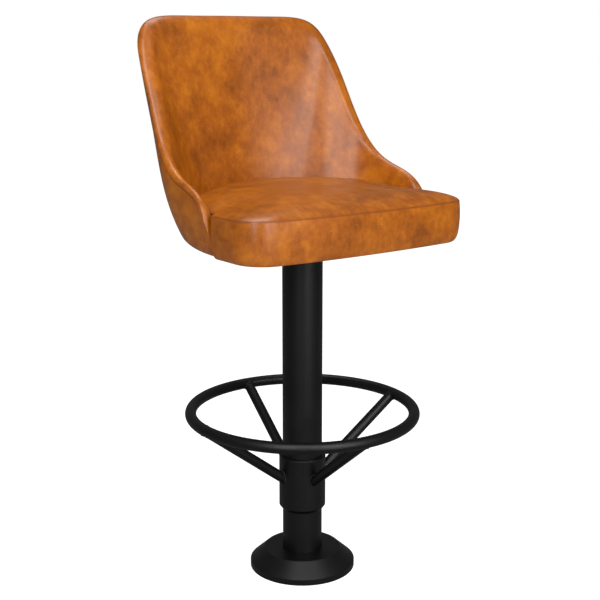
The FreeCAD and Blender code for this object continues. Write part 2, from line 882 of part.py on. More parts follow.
def back_stations():
    """Ribs from the left arm's end round the back to the right arm's end."""
    rim, rib = rim_and_ribs()
    reach = rim_distance_behind(half_arm)
    places = [(reach * index / station_count, 1.0) for index in range(station_count + 1)]
    for angle in nose_angles:
        turn = math.radians(angle)
        places.append((rim_distance_behind(half_arm * (1 - math.cos(turn))), math.sin(turn)))
    stations = []
    for side in (-1, 1):
        ordered = places[:0:-1] if side < 0 else places
        for distance, thinning in ordered:
            at = rim.parameterAtDistance(distance, rim.FirstParameter)
            stations.append(Station(rim.value(at), rib.value(at), side, thinning))
    for index, station in enumerate(stations):
        before = stations[max(index - 1, 0)]
        after = stations[min(index + 1, len(stations) - 1)]
        station.face_outward(before, after)
    return stations


def layer(outline, stations):
    """Solid through a layer's outline at every rib."""
    return Part.makeLoft([wire_through(outline(station)) for station in stations], True)


def hide_runs(rib):
    """Hide up the inner face, over the rim, down the outer side and in under the foot."""
    sides = []
    for inset in (0, hide_thickness):
        radius = back_foot_radius - inset
        side = rib.side(rib.at, rib.half - inset, back_foot_radius, rib.high())
        tail = [rib.at(rib.bend_centre(), inset), rib.at(rib.bend_centre() - outer_tail, inset)]
        sides.append([rib.face(inset, padding_foot)] + rib.roll(inset)
                     + [side[::-1], rib.bend(radius)[::-1], tail])
    return sides[0] + reverse(sides[1])


def outer_zone_runs(rib):
    """Outline round the outer part of the hide, up to the outer seam."""
    seam = rib.high() - outer_seam_drop
    inward = rib.bend_centre() - 2 * outer_tail
    outward = rib.half + back_foot_radius
    below = -back_foot_radius
    above = back_foot_radius
    return [[rib.at(0, seam), rib.at(outward, seam)], [rib.at(outward, below), rib.at(inward, below)],
            [rib.at(inward, above), rib.at(0, above)]]


def plywood_runs(rib):
    """Moulded plywood with a level flange at its foot."""
    outer = rib.half - hide_thickness - clearance
    inner = outer - plywood_thickness
    top = rib.high() - plywood_edge_gap
    outer_bend = bend_cover_radius - clearance
    inner_bend = outer_bend - plywood_thickness
    centre = rib.bend_centre()
    outside = [[rib.at(centre - flange_width, back_foot_radius - outer_bend),
                rib.at(centre, back_foot_radius - outer_bend)],
               rib.bend(outer_bend), rib.side(rib.at, outer, back_foot_radius, top)]
    inside = [[rib.at(centre - flange_width, back_foot_radius - inner_bend),
               rib.at(centre, back_foot_radius - inner_bend)],
              rib.bend(inner_bend), rib.side(rib.at, inner, back_foot_radius, top)]
    return outside + reverse(inside)


def back_foam_runs(rib):
    """Foam on the inner side of the plywood and over its top edge."""
    inset = hide_thickness + clearance
    seat = rib.half - inset - plywood_thickness - clearance
    foot = padding_foot + clearance
    return [rib.face(inset, foot)] + rib.roll(inset) + [rib.side(rib.at, seat, foot, rib.high())[::-1]]


def outer_zone():
    """Space of the outer cover, behind the strip of the inner one round the arms' ends."""
    side = 2 * (back_rim_half_width + back_rim_depth)
    behind_strip = Part.makeBox(side, side, 2 * back_height,
                                Vector(-side / 2, nose_strip - cushion_step_front, -back_height))
    return layer(outer_zone_runs, back_stations()).common(behind_strip)


def inner_back_cover():
    """Hide of the back's inner side, its rim and the arms' ends."""
    return layer(hide_runs, back_stations()).cut(outer_zone())


def outer_back_cover():
    """Hide of the back's outer side."""
    return layer(hide_runs, back_stations()).common(outer_zone())


def back_foam():
    """Padding of the back and arms."""
    return layer(back_foam_runs, back_stations())


def back_shell():
    """Moulded plywood shell of the back and arms, short of the arms' rounded ends."""
    side = 2 * (back_rim_half_width + back_rim_depth)
    behind_ends = Part.makeBox(side, side, back_height, Vector(-side / 2, -plywood_front, 0))
    shell = layer(plywood_runs, back_stations()).common(behind_ends)
    for place in flange_screw_places():
        shell = shell.cut(flange_screw(place))
    return shell


def lower_race():
    """Race on the housing's lip."""
    return race(lip_top_height)


def upper_race():
    """Race under the hub, its groove facing down."""
    return race(upper_race_height)


PIECES = {
    "floor_flange": floor_flange,
    "column_weld": column_weld,
    "column_tube": column_tube,
    "base_cover": base_cover,
    "footrest_sleeve": footrest_sleeve,
    "footrest_ring": footrest_ring,
    "footrest_set_screws": set_screws,
    "bearing_housing": bearing_housing,
    "spindle_bushes": spindle_bushes,
    "lower_race": lower_race,
    "upper_race": upper_race,
    "bearing_balls": bearing_balls,
    "ball_cage": ball_cage,
    "swivel_hub": swivel_hub,
    "swivel_spindle": swivel_spindle,
    "spindle_washer": spindle_washer,
    "spindle_nut": spindle_nut,
    "swivel_plate": swivel_plate,
    "plate_bolts": plate_bolts,
    "tee_nuts": tee_nuts,
    "seat_board": seat_board,
    "front_rail": front_rail,
    "flange_screws": flange_screws,
    "dust_cover": dust_cover,
    "cushion_band": cushion_band,
    "cushion_panel": cushion_panel,
    "cushion_foam": cushion_foam,
    "inner_back_cover": inner_back_cover,
    "outer_back_cover": outer_back_cover,
    "back_foam": back_foam,
    "back_shell": back_shell,
}


def export(name, shape):
    """Write one sub-part and say whether its solids are sound."""
    shape.exportStep("parts/" + name + ".step")
    print(name, "solids", len(shape.Solids), "sound", shape.isValid(), "mm3", round(shape.Volume))


def main():
    """Build and write every sub-part."""
    os.makedirs("parts", exist_ok=True)
    for name, make in PIECES.items():
        export(name, make())
    for index, name in enumerate(SPOKE_NAMES):
        export("spoke_" + name, spoke(footrest_front_angle + full_turn * index / spoke_count))


if __name__ == "__main__":
    main()
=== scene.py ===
"""Looks of a swivel bar stool: a leather bucket seat on a round column with a foot ring.

Lengths are metres in the part's own frame: the floor is z = 0, the column stands on the Z axis and
the sitter faces -Y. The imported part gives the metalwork; the upholstery is made here.
"""
from __future__ import annotations

import json
import logging
import math
from abc import ABC, abstractmethod
from dataclasses import dataclass, field
from enum import Enum
from typing import Any, Sequence

import bpy
import numpy as np
from mathutils import Euler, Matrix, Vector
from mathutils.bvhtree import BVHTree

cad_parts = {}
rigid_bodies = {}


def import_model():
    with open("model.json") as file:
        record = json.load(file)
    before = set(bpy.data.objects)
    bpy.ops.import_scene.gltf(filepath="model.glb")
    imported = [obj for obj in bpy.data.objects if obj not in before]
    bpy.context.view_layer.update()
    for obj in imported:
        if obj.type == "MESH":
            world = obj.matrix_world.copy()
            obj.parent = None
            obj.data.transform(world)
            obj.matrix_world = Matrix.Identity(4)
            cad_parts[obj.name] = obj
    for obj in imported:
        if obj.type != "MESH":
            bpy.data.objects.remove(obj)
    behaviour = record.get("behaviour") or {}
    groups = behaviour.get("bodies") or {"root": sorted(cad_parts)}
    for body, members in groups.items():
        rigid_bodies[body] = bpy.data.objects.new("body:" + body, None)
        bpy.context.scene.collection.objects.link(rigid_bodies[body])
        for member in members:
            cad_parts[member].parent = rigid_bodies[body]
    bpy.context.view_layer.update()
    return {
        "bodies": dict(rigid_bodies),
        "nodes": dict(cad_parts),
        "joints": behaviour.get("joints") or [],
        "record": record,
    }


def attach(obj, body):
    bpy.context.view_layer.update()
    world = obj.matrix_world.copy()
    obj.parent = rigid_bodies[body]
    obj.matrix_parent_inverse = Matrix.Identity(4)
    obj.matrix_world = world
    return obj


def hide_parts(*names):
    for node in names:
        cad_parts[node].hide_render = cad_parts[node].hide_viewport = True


LOG = logging.getLogger("bar_stool")
Colour = tuple[float, float, float, float]
Triple = tuple[float, float, float]
Points = np.ndarray
WHITE: Colour = (1.0, 1.0, 1.0, 1.0)
# Noise values mostly lie in this span.
NOISE_SPAN = (0.3, 0.7)
NOISE_MIDDLE = 0.5
# Share of the white backdrop that shows in reflections.
MIRRORED_SHARE = 0.10
TINY = 1e-9
# A Mix node's sockets share their names, so they go by number.
FACTOR = 0
NUMBER_A, NUMBER_B, NUMBER_OUT = 2, 3, 0
COLOUR_A, COLOUR_B, COLOUR_OUT = 6, 7, 2


def linear(code: str) -> Colour:
    """Turn an sRGB hex value into a linear colour.

    Args:
        code: six hex digits, with or without a leading mark.

    Returns:
        Red, green, blue and alpha, linear.
    """
    digits = code.lstrip("#")
    shades = [int(digits[place:place + 2], 16) / 255 for place in (0, 2, 4)]
    red, green, blue = [s / 12.92 if s <= 0.04045 else ((s + 0.055) / 1.055) ** 2.4 for s in shades]
    return red, green, blue, 1.0


def per_metre(size: float) -> float:
    """Scale of a pattern on Object coordinates whose features have that size in metres."""
    return 1.0 / size


def add(tree: bpy.types.NodeTree, kind: str, inputs: dict[Any, Any] | None = None,
        stops: Sequence[tuple[float, Colour]] = (), **settings: Any) -> bpy.types.Node:
    """Add a node with its settings and links.

    Args:
        tree: the tree that gets the node.
        kind: the node's type name.
        inputs: socket names or numbers, each with a value or the output socket to link.
        stops: places and colours of a colour ramp.
        settings: other properties of the node.

    Returns:
        The new node.
    """
    node = tree.nodes.new(kind)
    for name, value in settings.items():
        setattr(node, name, value)
    for key, value in (inputs or {}).items():
        if isinstance(value, bpy.types.NodeSocket):
            tree.links.new(value, node.inputs[key])
        else:
            node.inputs[key].default_value = value
    if stops:
        elements = node.color_ramp.elements
        while len(elements) < len(stops):
            elements.new(1.0)
        for element, (place, colour) in zip(elements, stops):
            element.position = place
            element.color = colour
    return node


class Finish(ABC):
    """A surface finish that makes its own material once."""

    name: str = "finish"

    def material(self) -> bpy.types.Material:
        """Give the finish's material, made on first use.

        Returns:
            The material.
        """
        found = bpy.data.materials.get(self.name)
        if found is not None:
            return found
        material = bpy.data.materials.new(self.name)
        material.use_nodes = True
        tree = material.node_tree
        tree.nodes.clear()
        output = add(tree, "ShaderNodeOutputMaterial")
        tree.links.new(self.surface(tree), output.inputs["Surface"])
        return material

    @abstractmethod
    def surface(self, tree: bpy.types.NodeTree) -> bpy.types.NodeSocket:
        """Build the shader.

        Args:
            tree: the material's tree.

        Returns:
            The shader's output socket.
        """

    def coordinates(self, tree: bpy.types.NodeTree) -> bpy.types.NodeSocket:
        """Give the Object coordinates, in metres."""
        return add(tree, "ShaderNodeTexCoord").outputs["Object"]


@dataclass(frozen=True)
class DyeLayer:
    """One noise of the hide's uneven dye; its weight is how far it covers those before it."""

    size: float
    detail: float
    warp: float
    weight: float


@dataclass(frozen=True)
class WaxedTanLeather(Finish):
    """Waxed semi-aniline cowhide, drum dyed and rubbed by hand.

    The dye takes unevenly, in soft clouds and short strokes of the rubbing cloth, and the wax gives
    a soft gloss. The grain is fine, with a few thin healed scratches. Painted shade darkens the
    seams' grooves and the hidden faces.
    """

    name: str = "Waxed tan cowhide"
    light: str = "#B3660A"
    middle: str = "#9A5105"
    dark: str = "#7D3F02"
    scratch: str = "#C98A4A"
    # Painted shade: the colour that the seams' grooves and the hidden faces are darkened towards.
    seam: str = "#7A3F12"
    clouds: DyeLayer = DyeLayer(0.085, 2.0, 0.3, 1.0)
    mottles: DyeLayer = DyeLayer(0.026, 3.0, 0.25, 0.46)
    strokes: DyeLayer = DyeLayer(0.009, 4.0, 0.3, 0.26)
    flecks: DyeLayer = DyeLayer(0.0032, 3.0, 0.0, 0.12)
    dye_roughness: float = 0.6
    dye_stops: Triple = (0.38, 0.50, 0.62)
    stroke_turn: Triple = (0.5, 0.9, 0.4)
    stroke_stretch: Triple = (1.0, 0.28, 0.6)
    scratch_size: float = 0.030
    scratch_width: float = 0.00375
    scratch_turn: Triple = (0.3, 0.2, 0.7)
    scratch_stretch: Triple = (0.16, 1.0, 1.0)
    scratch_thinness: float = 0.004
    scratch_patches: tuple[float, float] = (0.53, 0.63)
    scratch_strength: float = 0.6
    # A real hide's pebbles are about half that size, too fine to show.
    grain_size: float = 0.0014
    grain_depth: float = 0.00016
    grain_strength: float = 0.4
    crumple_size: float = 0.018
    crumple_depth: float = 0.0008
    crumple_strength: float = 0.3
    roughness: float = 0.33
    roughness_spread: float = 0.05
    refraction: float = 1.48
    gloss_level: float = 0.55

    def cloudiness(self, tree: bpy.types.NodeTree,
                   place: bpy.types.NodeSocket) -> bpy.types.NodeSocket:
        """Add clouds, blotches, rubbing strokes and flecks to one grey pattern.

        Args:
            tree: the material's tree.
            place: the coordinates that the pattern follows.

        Returns:
            The pattern, about 0.5 in the middle.
        """
        rubbed = add(tree, "ShaderNodeMapping", {
            "Vector": place, "Rotation": self.stroke_turn, "Scale": self.stroke_stretch})
        shade = None
        for layer in (self.clouds, self.mottles, self.strokes, self.flecks):
            noise = add(tree, "ShaderNodeTexNoise", {
                "Vector": rubbed.outputs["Vector"] if layer is self.strokes else place,
                "Scale": per_metre(layer.size), "Detail": layer.detail,
                "Roughness": self.dye_roughness, "Distortion": layer.warp})
            shade = noise.outputs["Fac"] if shade is None else add(tree, "ShaderNodeMix", {
                FACTOR: layer.weight, NUMBER_A: shade,
                NUMBER_B: noise.outputs["Fac"]}).outputs[NUMBER_OUT]
        return shade

    def scratches(self, tree: bpy.types.NodeTree,
                  place: bpy.types.NodeSocket) -> bpy.types.NodeSocket:
        """Draw a few thin scratches, 1 where there is one.

        Args:
            tree: the material's tree.
            place: the coordinates that the pattern follows.

        Returns:
            How much of a scratch there is.
        """
        stretched = add(tree, "ShaderNodeMapping", {
            "Vector": place, "Rotation": self.scratch_turn, "Scale": self.scratch_stretch})
        lines = add(tree, "ShaderNodeTexNoise", {
            "Vector": stretched.outputs["Vector"], "Scale": per_metre(self.scratch_width),
            "Detail": 1.0, "Distortion": 0.5})
        thin = add(tree, "ShaderNodeMath", {
            0: lines.outputs["Fac"], 1: NOISE_MIDDLE, 2: self.scratch_thinness},
            operation="COMPARE")
        patches = add(tree, "ShaderNodeTexNoise", {
            "Vector": place, "Scale": per_metre(self.scratch_size), "Detail": 2.0})
        first, full = self.scratch_patches
        rare = add(tree, "ShaderNodeMapRange", {
            "Value": patches.outputs["Fac"], "From Min": first, "From Max": full,
            "To Max": self.scratch_strength})
        return add(tree, "ShaderNodeMath", {0: thin.outputs[0], 1: rare.outputs["Result"]},
                   operation="MULTIPLY").outputs[0]

    def surface(self, tree: bpy.types.NodeTree) -> bpy.types.NodeSocket:
        """Build the mottled hide.

        Args:
            tree: the material's tree.

        Returns:
            The shader's output socket.
        """
        place = self.coordinates(tree)
        shade = self.cloudiness(tree, place)
        dyes = [linear(code) for code in (self.dark, self.middle, self.light)]
        colour = add(tree, "ShaderNodeValToRGB", {"Fac": shade},
                     stops=tuple(zip(self.dye_stops, dyes)))
        scuffed = add(tree, "ShaderNodeMix", {
            FACTOR: self.scratches(tree, place), COLOUR_A: colour.outputs["Color"],
            COLOUR_B: linear(self.scratch)}, data_type="RGBA")
        # Painted shade: a stored number for each vertex darkens the hide towards the seam colour in
        # the seams' grooves and on hidden faces.
        seam = add(tree, "ShaderNodeAttribute", attribute_name="seam_shade")
        with_painted_shade = add(tree, "ShaderNodeMix", {
            FACTOR: seam.outputs["Fac"], COLOUR_A: scuffed.outputs[COLOUR_OUT],
            COLOUR_B: linear(self.seam)}, data_type="RGBA")
        gloss = add(tree, "ShaderNodeMapRange", {
            "Value": shade, "From Min": NOISE_SPAN[0], "From Max": NOISE_SPAN[1],
            "To Min": self.roughness - self.roughness_spread / 2,
            "To Max": self.roughness + self.roughness_spread / 2})
        return add(tree, "ShaderNodeBsdfPrincipled", {
            "Base Color": with_painted_shade.outputs[COLOUR_OUT], "Roughness": gloss.outputs["Result"],
            "IOR": self.refraction, "Specular IOR Level": self.gloss_level,
            "Normal": self.relief(tree, place)}).outputs["BSDF"]

    def relief(self, tree: bpy.types.NodeTree, place: bpy.types.NodeSocket) -> bpy.types.NodeSocket:
        """Build the fine grain over soft crumples.

        Args:
            tree: the material's tree.
            place: the coordinates that the pattern follows.

        Returns:
            The bumped normal.
        """
        crumple = add(tree, "ShaderNodeTexNoise", {
            "Vector": place, "Scale": per_metre(self.crumple_size), "Detail": 2.0})
        soft = add(tree, "ShaderNodeBump", {
            "Strength": self.crumple_strength, "Distance": self.crumple_depth,
            "Height": crumple.outputs["Fac"]})
        pebbles = add(tree, "ShaderNodeTexVoronoi", {
            "Vector": place, "Scale": per_metre(self.grain_size), "Randomness": 1.0},
            feature="SMOOTH_F1")
        return add(tree, "ShaderNodeBump", {
            "Strength": self.grain_strength, "Distance": self.grain_depth,
            "Height": pebbles.outputs["Distance"],
            "Normal": soft.outputs["Normal"]}).outputs["Normal"]


@dataclass(frozen=True)
class BlackPowderCoat(Finish):
    """Polyester powder coat, baked on steel: satin black with a faint orange peel."""

    name: str = "Satin black powder coat"
    colour: str = "#040404"
    roughness: float = 0.44
    refraction: float = 1.5
    gloss_level: float = 0.44
    peel_size: float = 0.0026
    peel_depth: float = 0.00004
    peel_strength: float = 0.4
    film_size: float = 0.05
    film_spread: float = 0.012

    def surface(self, tree: bpy.types.NodeTree) -> bpy.types.NodeSocket:
        """Build the coat.

        Args:
            tree: the material's tree.

        Returns:
            The shader's output socket.
        """
        place = self.coordinates(tree)
        peel = add(tree, "ShaderNodeTexNoise", {
            "Vector": place, "Scale": per_metre(self.peel_size), "Detail": 2.0})
        film = add(tree, "ShaderNodeTexNoise", {
            "Vector": place, "Scale": per_metre(self.film_size), "Detail": 4.0})
        gloss = add(tree, "ShaderNodeMapRange", {
            "Value": film.outputs["Fac"], "From Min": NOISE_SPAN[0], "From Max": NOISE_SPAN[1],
            "To Min": self.roughness - self.film_spread,
            "To Max": self.roughness + self.film_spread})
        bump = add(tree, "ShaderNodeBump", {
            "Strength": self.peel_strength, "Distance": self.peel_depth,
            "Height": peel.outputs["Fac"]})
        return add(tree, "ShaderNodeBsdfPrincipled", {
            "Base Color": linear(self.colour), "Roughness": gloss.outputs["Result"],
            "IOR": self.refraction, "Specular IOR Level": self.gloss_level,
            "Normal": bump.outputs["Normal"]}).outputs["BSDF"]


@dataclass(frozen=True)
class BareMetal(Finish):
    """Turned, ground or plated metal, whose fine streaks spread its reflections."""

    name: str = "Turned steel"
    colour: str = "#B9B9BA"
    roughness: float = 0.32
    roughness_spread: float = 0.08
    # Real tool marks are about 0.1 mm apart, too fine to show.
    streak_size: float = 0.0008

    def surface(self, tree: bpy.types.NodeTree) -> bpy.types.NodeSocket:
        """Build the metal.

        Args:
            tree: the material's tree.

        Returns:
            The shader's output socket.
        """
        streaks = add(tree, "ShaderNodeTexNoise", {
            "Vector": self.coordinates(tree), "Scale": per_metre(self.streak_size), "Detail": 2.0})
        gloss = add(tree, "ShaderNodeMapRange", {
            "Value": streaks.outputs["Fac"], "To Min": self.roughness - self.roughness_spread,
            "To Max": self.roughness + self.roughness_spread})
        return add(tree, "ShaderNodeBsdfPrincipled", {
            "Base Color": linear(self.colour), "Metallic": 1.0,
            "Roughness": gloss.outputs["Result"]}).outputs["BSDF"]


@dataclass(frozen=True)
class BirchPlywood(Finish):
    """Rotary-cut birch plywood, raw: pale wood with long wandering grain."""

    name: str = "Raw birch plywood"
    pale: str = "#D2B48C"
    grain: str = "#A9865A"
    grain_width: float = 0.006
    grain_stretch: Triple = (1.0, 0.08, 1.0)
    grain_stops: tuple[float, float] = (0.35, 0.62)
    grain_warp: float = 0.6
    roughness: float = 0.6

    def surface(self, tree: bpy.types.NodeTree) -> bpy.types.NodeSocket:
        """Build the veneer.

        Args:
            tree: the material's tree.

        Returns:
            The shader's output socket.
        """
        stretched = add(tree, "ShaderNodeMapping", {
            "Vector": self.coordinates(tree), "Scale": self.grain_stretch})
        grain = add(tree, "ShaderNodeTexNoise", {
            "Vector": stretched.outputs["Vector"], "Scale": per_metre(self.grain_width),
            "Detail": 4.0, "Distortion": self.grain_warp})
        shades = [linear(code) for code in (self.grain, self.pale)]
        colour = add(tree, "ShaderNodeValToRGB", {"Fac": grain.outputs["Fac"]},
                     stops=tuple(zip(self.grain_stops, shades)))
        return add(tree, "ShaderNodeBsdfPrincipled", {
            "Base Color": colour.outputs["Color"], "Roughness": self.roughness}).outputs["BSDF"]


@dataclass(frozen=True)
class LiningCloth(Finish):
    """Spun-bonded lining cloth, black and matt, with a fine pattern of weld dimples."""

    name: str = "Black spun-bonded lining"
    colour: str = "#141414"
    roughness: float = 0.85
    dimple_size: float = 0.0022
    dimple_depth: float = 0.0002
    dimple_strength: float = 0.7
    dimple_disorder: float = 0.25

    def surface(self, tree: bpy.types.NodeTree) -> bpy.types.NodeSocket:
        """Build the cloth.

        Args:
            tree: the material's tree.

        Returns:
            The shader's output socket.
        """
        dimples = add(tree, "ShaderNodeTexVoronoi", {
            "Vector": self.coordinates(tree), "Scale": per_metre(self.dimple_size),
            "Randomness": self.dimple_disorder})
        bump = add(tree, "ShaderNodeBump", {
            "Strength": self.dimple_strength, "Distance": self.dimple_depth,
            "Height": dimples.outputs["Distance"]})
        return add(tree, "ShaderNodeBsdfPrincipled", {
            "Base Color": linear(self.colour), "Roughness": self.roughness,
            "Normal": bump.outputs["Normal"]}).outputs["BSDF"]


@dataclass(frozen=True)
class WhiteSweep(Finish):
    """Painted studio floor that the camera sees as plain white, with the shadow kept."""

    name: str = "White studio floor"
    glow: float = 0.93
    paint: float = 0.45
    lit_shade: float = 0.8
    mirrored_shade: float = 0.06

    @staticmethod
    def grey(shade: float) -> Colour:
        """Give a neutral colour of that shade."""
        return shade, shade, shade, 1.0

    def surface(self, tree: bpy.types.NodeTree) -> bpy.types.NodeSocket:
        """Build the floor.

        Args:
            tree: the material's tree.

        Returns:
            The shader's output socket.
        """
        mirrored = add(tree, "ShaderNodeLightPath").outputs["Is Glossy Ray"]
        shade = add(tree, "ShaderNodeMix", {
            FACTOR: mirrored, COLOUR_A: self.grey(self.lit_shade),
            COLOUR_B: self.grey(self.mirrored_shade)}, data_type="RGBA")
        plain = add(tree, "ShaderNodeBsdfDiffuse", {"Color": shade.outputs[COLOUR_OUT]})
        dim = add(tree, "ShaderNodeBsdfDiffuse", {"Color": self.grey(self.paint)})
        glow = add(tree, "ShaderNodeEmission", {"Color": WHITE, "Strength": self.glow})
        shown = add(tree, "ShaderNodeAddShader", {0: dim.outputs[0], 1: glow.outputs[0]})
        return add(tree, "ShaderNodeMixShader", {
            0: shows_white(tree), 1: plain.outputs[0], 2: shown.outputs[0]}).outputs[0]


def shows_white(tree: bpy.types.NodeTree) -> bpy.types.NodeSocket:
    """Tell how far a ray sees the white backdrop.

    It sees it wholly from the camera or through a pane, and in part by reflection, so that black
    and brown stay as deep as in a large dim studio.

    Args:
        tree: the tree of the floor's material or of the world.

    Returns:
        A number from 0 to 1.
    """
    rays = add(tree, "ShaderNodeLightPath")
    mirrored = add(tree, "ShaderNodeMath", {
        0: rays.outputs["Is Glossy Ray"], 1: MIRRORED_SHARE}, operation="MULTIPLY")
    seen = add(tree, "ShaderNodeMath", {
        0: rays.outputs["Is Camera Ray"], 1: rays.outputs["Is Transmission Ray"]},
        operation="MAXIMUM")
    return add(tree, "ShaderNodeMath", {0: seen.outputs[0], 1: mirrored.outputs[0]},
               operation="MAXIMUM").outputs[0]


LEATHER = WaxedTanLeather()
POWDER = BlackPowderCoat()
TURNED = BareMetal()
ZINC = BareMetal("Bright zinc plate", "#C4C7CC", 0.28)
HARDENED = BareMetal("Ground bearing steel", "#CFCFD2", 0.16)
TURNED_BRASS = BareMetal("Turned brass", "#C9A55A", 0.3)
RAW_BIRCH = BirchPlywood()
LINING = LiningCloth()


class Slot(Enum):
    """The record's material slots, each with the finish that stands for it."""

    BLACK_POWDER_COAT = POWDER
    MACHINED_STEEL = TURNED
    ZINC_STEEL = ZINC
    BEARING_STEEL = HARDENED
    BRASS = TURNED_BRASS
    PLYWOOD = RAW_BIRCH
    LINING_CLOTH = LINING
    TAN_LEATHER = LEATHER


def make_piece(name: str, vertices: Points, faces: Sequence[Sequence[int]],
               finish: Finish) -> bpy.types.Object:
    """Make a smooth mesh object from plain arrays.

    Args:
        name: the piece's name.
        vertices: corner places, one row each.
        faces: corner numbers of each face.
        finish: what it is made of.

    Returns:
        The new object, at the origin.
    """
    mesh = bpy.data.meshes.new(name)
    mesh.from_pydata(vertices.tolist(), [], [list(map(int, face)) for face in faces])
    mesh.materials.append(finish.material())
    mesh.shade_smooth()
    mesh.update()
    piece = bpy.data.objects.new(name, mesh)
    bpy.context.scene.collection.objects.link(piece)
    return piece


def outward(piece: bpy.types.Object) -> None:
    """Turn a closed piece's faces outwards, by the sign of its volume.

    Args:
        piece: an object with a closed mesh.
    """
    mesh = piece.data
    mesh.calc_loop_triangles()
    corners = read_points(mesh)
    triangles = np.array([t.vertices for t in mesh.loop_triangles])
    a, b, c = corners[triangles[:, 0]], corners[triangles[:, 1]], corners[triangles[:, 2]]
    if np.einsum("ij,ij->i", a, np.cross(b, c)).sum() < 0:
        mesh.flip_normals()


def read_points(mesh: bpy.types.Mesh) -> Points:
    """Give a mesh's vertex places.

    Args:
        mesh: any mesh.

    Returns:
        One row for each vertex.
    """
    flat = np.zeros(len(mesh.vertices) * 3)
    mesh.vertices.foreach_get("co", flat)
    return flat.reshape(-1, 3)


def write_points(mesh: bpy.types.Mesh, places: Points) -> None:
    """Set a mesh's vertex places from rows."""
    mesh.vertices.foreach_set("co", np.ascontiguousarray(places, dtype=np.float32).ravel())
    mesh.update()


def write_shade(mesh: bpy.types.Mesh, name: str, values: Points) -> None:
    """Store one number for each vertex, for a material to read."""
    attribute = mesh.attributes.new(name, "FLOAT", "POINT")
    attribute.data.foreach_set("value", values.astype(np.float32))


def band_faces(rows: int, columns: int, closed_rows: bool, closed_columns: bool) -> list[list[int]]:
    """Four-cornered faces of a grid stored row by row.

    Args:
        rows: number of rows.
        columns: number of points in each row.
        closed_rows: whether the last row joins the first.
        closed_columns: whether the last column joins the first.

    Returns:
        Corner numbers of each face.
    """
    faces = []
    for row in range(rows if closed_rows else rows - 1):
        below, above = row * columns, (row + 1) % rows * columns
        for column in range(columns if closed_columns else columns - 1):
            after = (column + 1) % columns
            faces.append([below + column, below + after, above + after, above + column])
    return faces


def refine(piece: bpy.types.Object) -> None:
    """Subdivide a piece once."""
    fine = piece.modifiers.new("Fine", "SUBSURF")
    fine.levels = fine.render_levels = 1


def even_shares(count: int) -> Points:
    """Give that many even shares up to 1, without 0."""
    return np.linspace(1 / count, 1, count)


@dataclass
class Padding:
    """How a padded piece is blown up by the cloth simulation."""

    pressure: float = 4.0
    cap: float = 0.004
    evenings: int = 6
    last_frame: int = 20
    stretch_stiffness: float = 30.0
    bending_stiffness: float = 2.0

    def swell(self, piece: bpy.types.Object, held: Points) -> None:
        """Simulate the hide under the foam's pressure and keep the result in the mesh.

        Args:
            piece: a closed mesh.
            held: for each vertex, 1 where it can't move and 0 where it is free.
        """
        scene = bpy.context.scene
        before = read_points(piece.data)
        group = piece.vertex_groups.new(name="held")
        for index, weight in enumerate(held.tolist()):
            if weight > 0:
                group.add([index], weight, "REPLACE")
        cloth = piece.modifiers.new("Padding", "CLOTH")
        cloth.settings.vertex_group_mass = group.name
        cloth.settings.use_pressure = True
        cloth.settings.uniform_pressure_force = self.pressure
        cloth.settings.tension_stiffness = self.stretch_stiffness
        cloth.settings.compression_stiffness = self.stretch_stiffness
        cloth.settings.bending_stiffness = self.bending_stiffness
        cloth.settings.effector_weights.gravity = 0.0
        cloth.point_cache.frame_start = 1
        cloth.point_cache.frame_end = self.last_frame
        for frame_number in range(1, self.last_frame + 1):
            scene.frame_set(frame_number)
        shaped = piece.evaluated_get(bpy.context.evaluated_depsgraph_get())
        moved = read_points(shaped.data) - before
        piece.modifiers.remove(cloth)
        piece.vertex_groups.remove(group)
        scene.frame_set(1)
        length = np.linalg.norm(moved, axis=1, keepdims=True)
        moved *= np.minimum(1.0, self.cap / np.maximum(length, TINY))
        moved = self.even_out(piece.data, moved, held)
        LOG.info("%s swells by up to %.1f mm", piece.name, 1000 * float(np.abs(moved).max()))
        write_points(piece.data, before + moved)

    def even_out(self, mesh: bpy.types.Mesh, moved: Points, held: Points) -> Points:
        """Average the movement over neighbouring points, so that the cap leaves no crease.

        Args:
            mesh: the piece's mesh.
            moved: how far each vertex moved.
            held: how firmly each vertex is held.

        Returns:
            The evened movement, none where a vertex is held fast.
        """
        edges = np.zeros(len(mesh.edges) * 2, dtype=int)
        mesh.edges.foreach_get("vertices", edges)
        edges = edges.reshape(-1, 2)
        count = np.bincount(edges.ravel(), minlength=len(moved))[:, None]
        free = (1 - np.clip(held, 0, 1))[:, None]
        for _ in range(self.evenings):
            total = np.zeros_like(moved)
            np.add.at(total, edges[:, 0], moved[edges[:, 1]])
            np.add.at(total, edges[:, 1], moved[edges[:, 0]])
            moved = (moved + total) / (1 + count) * free
        return moved


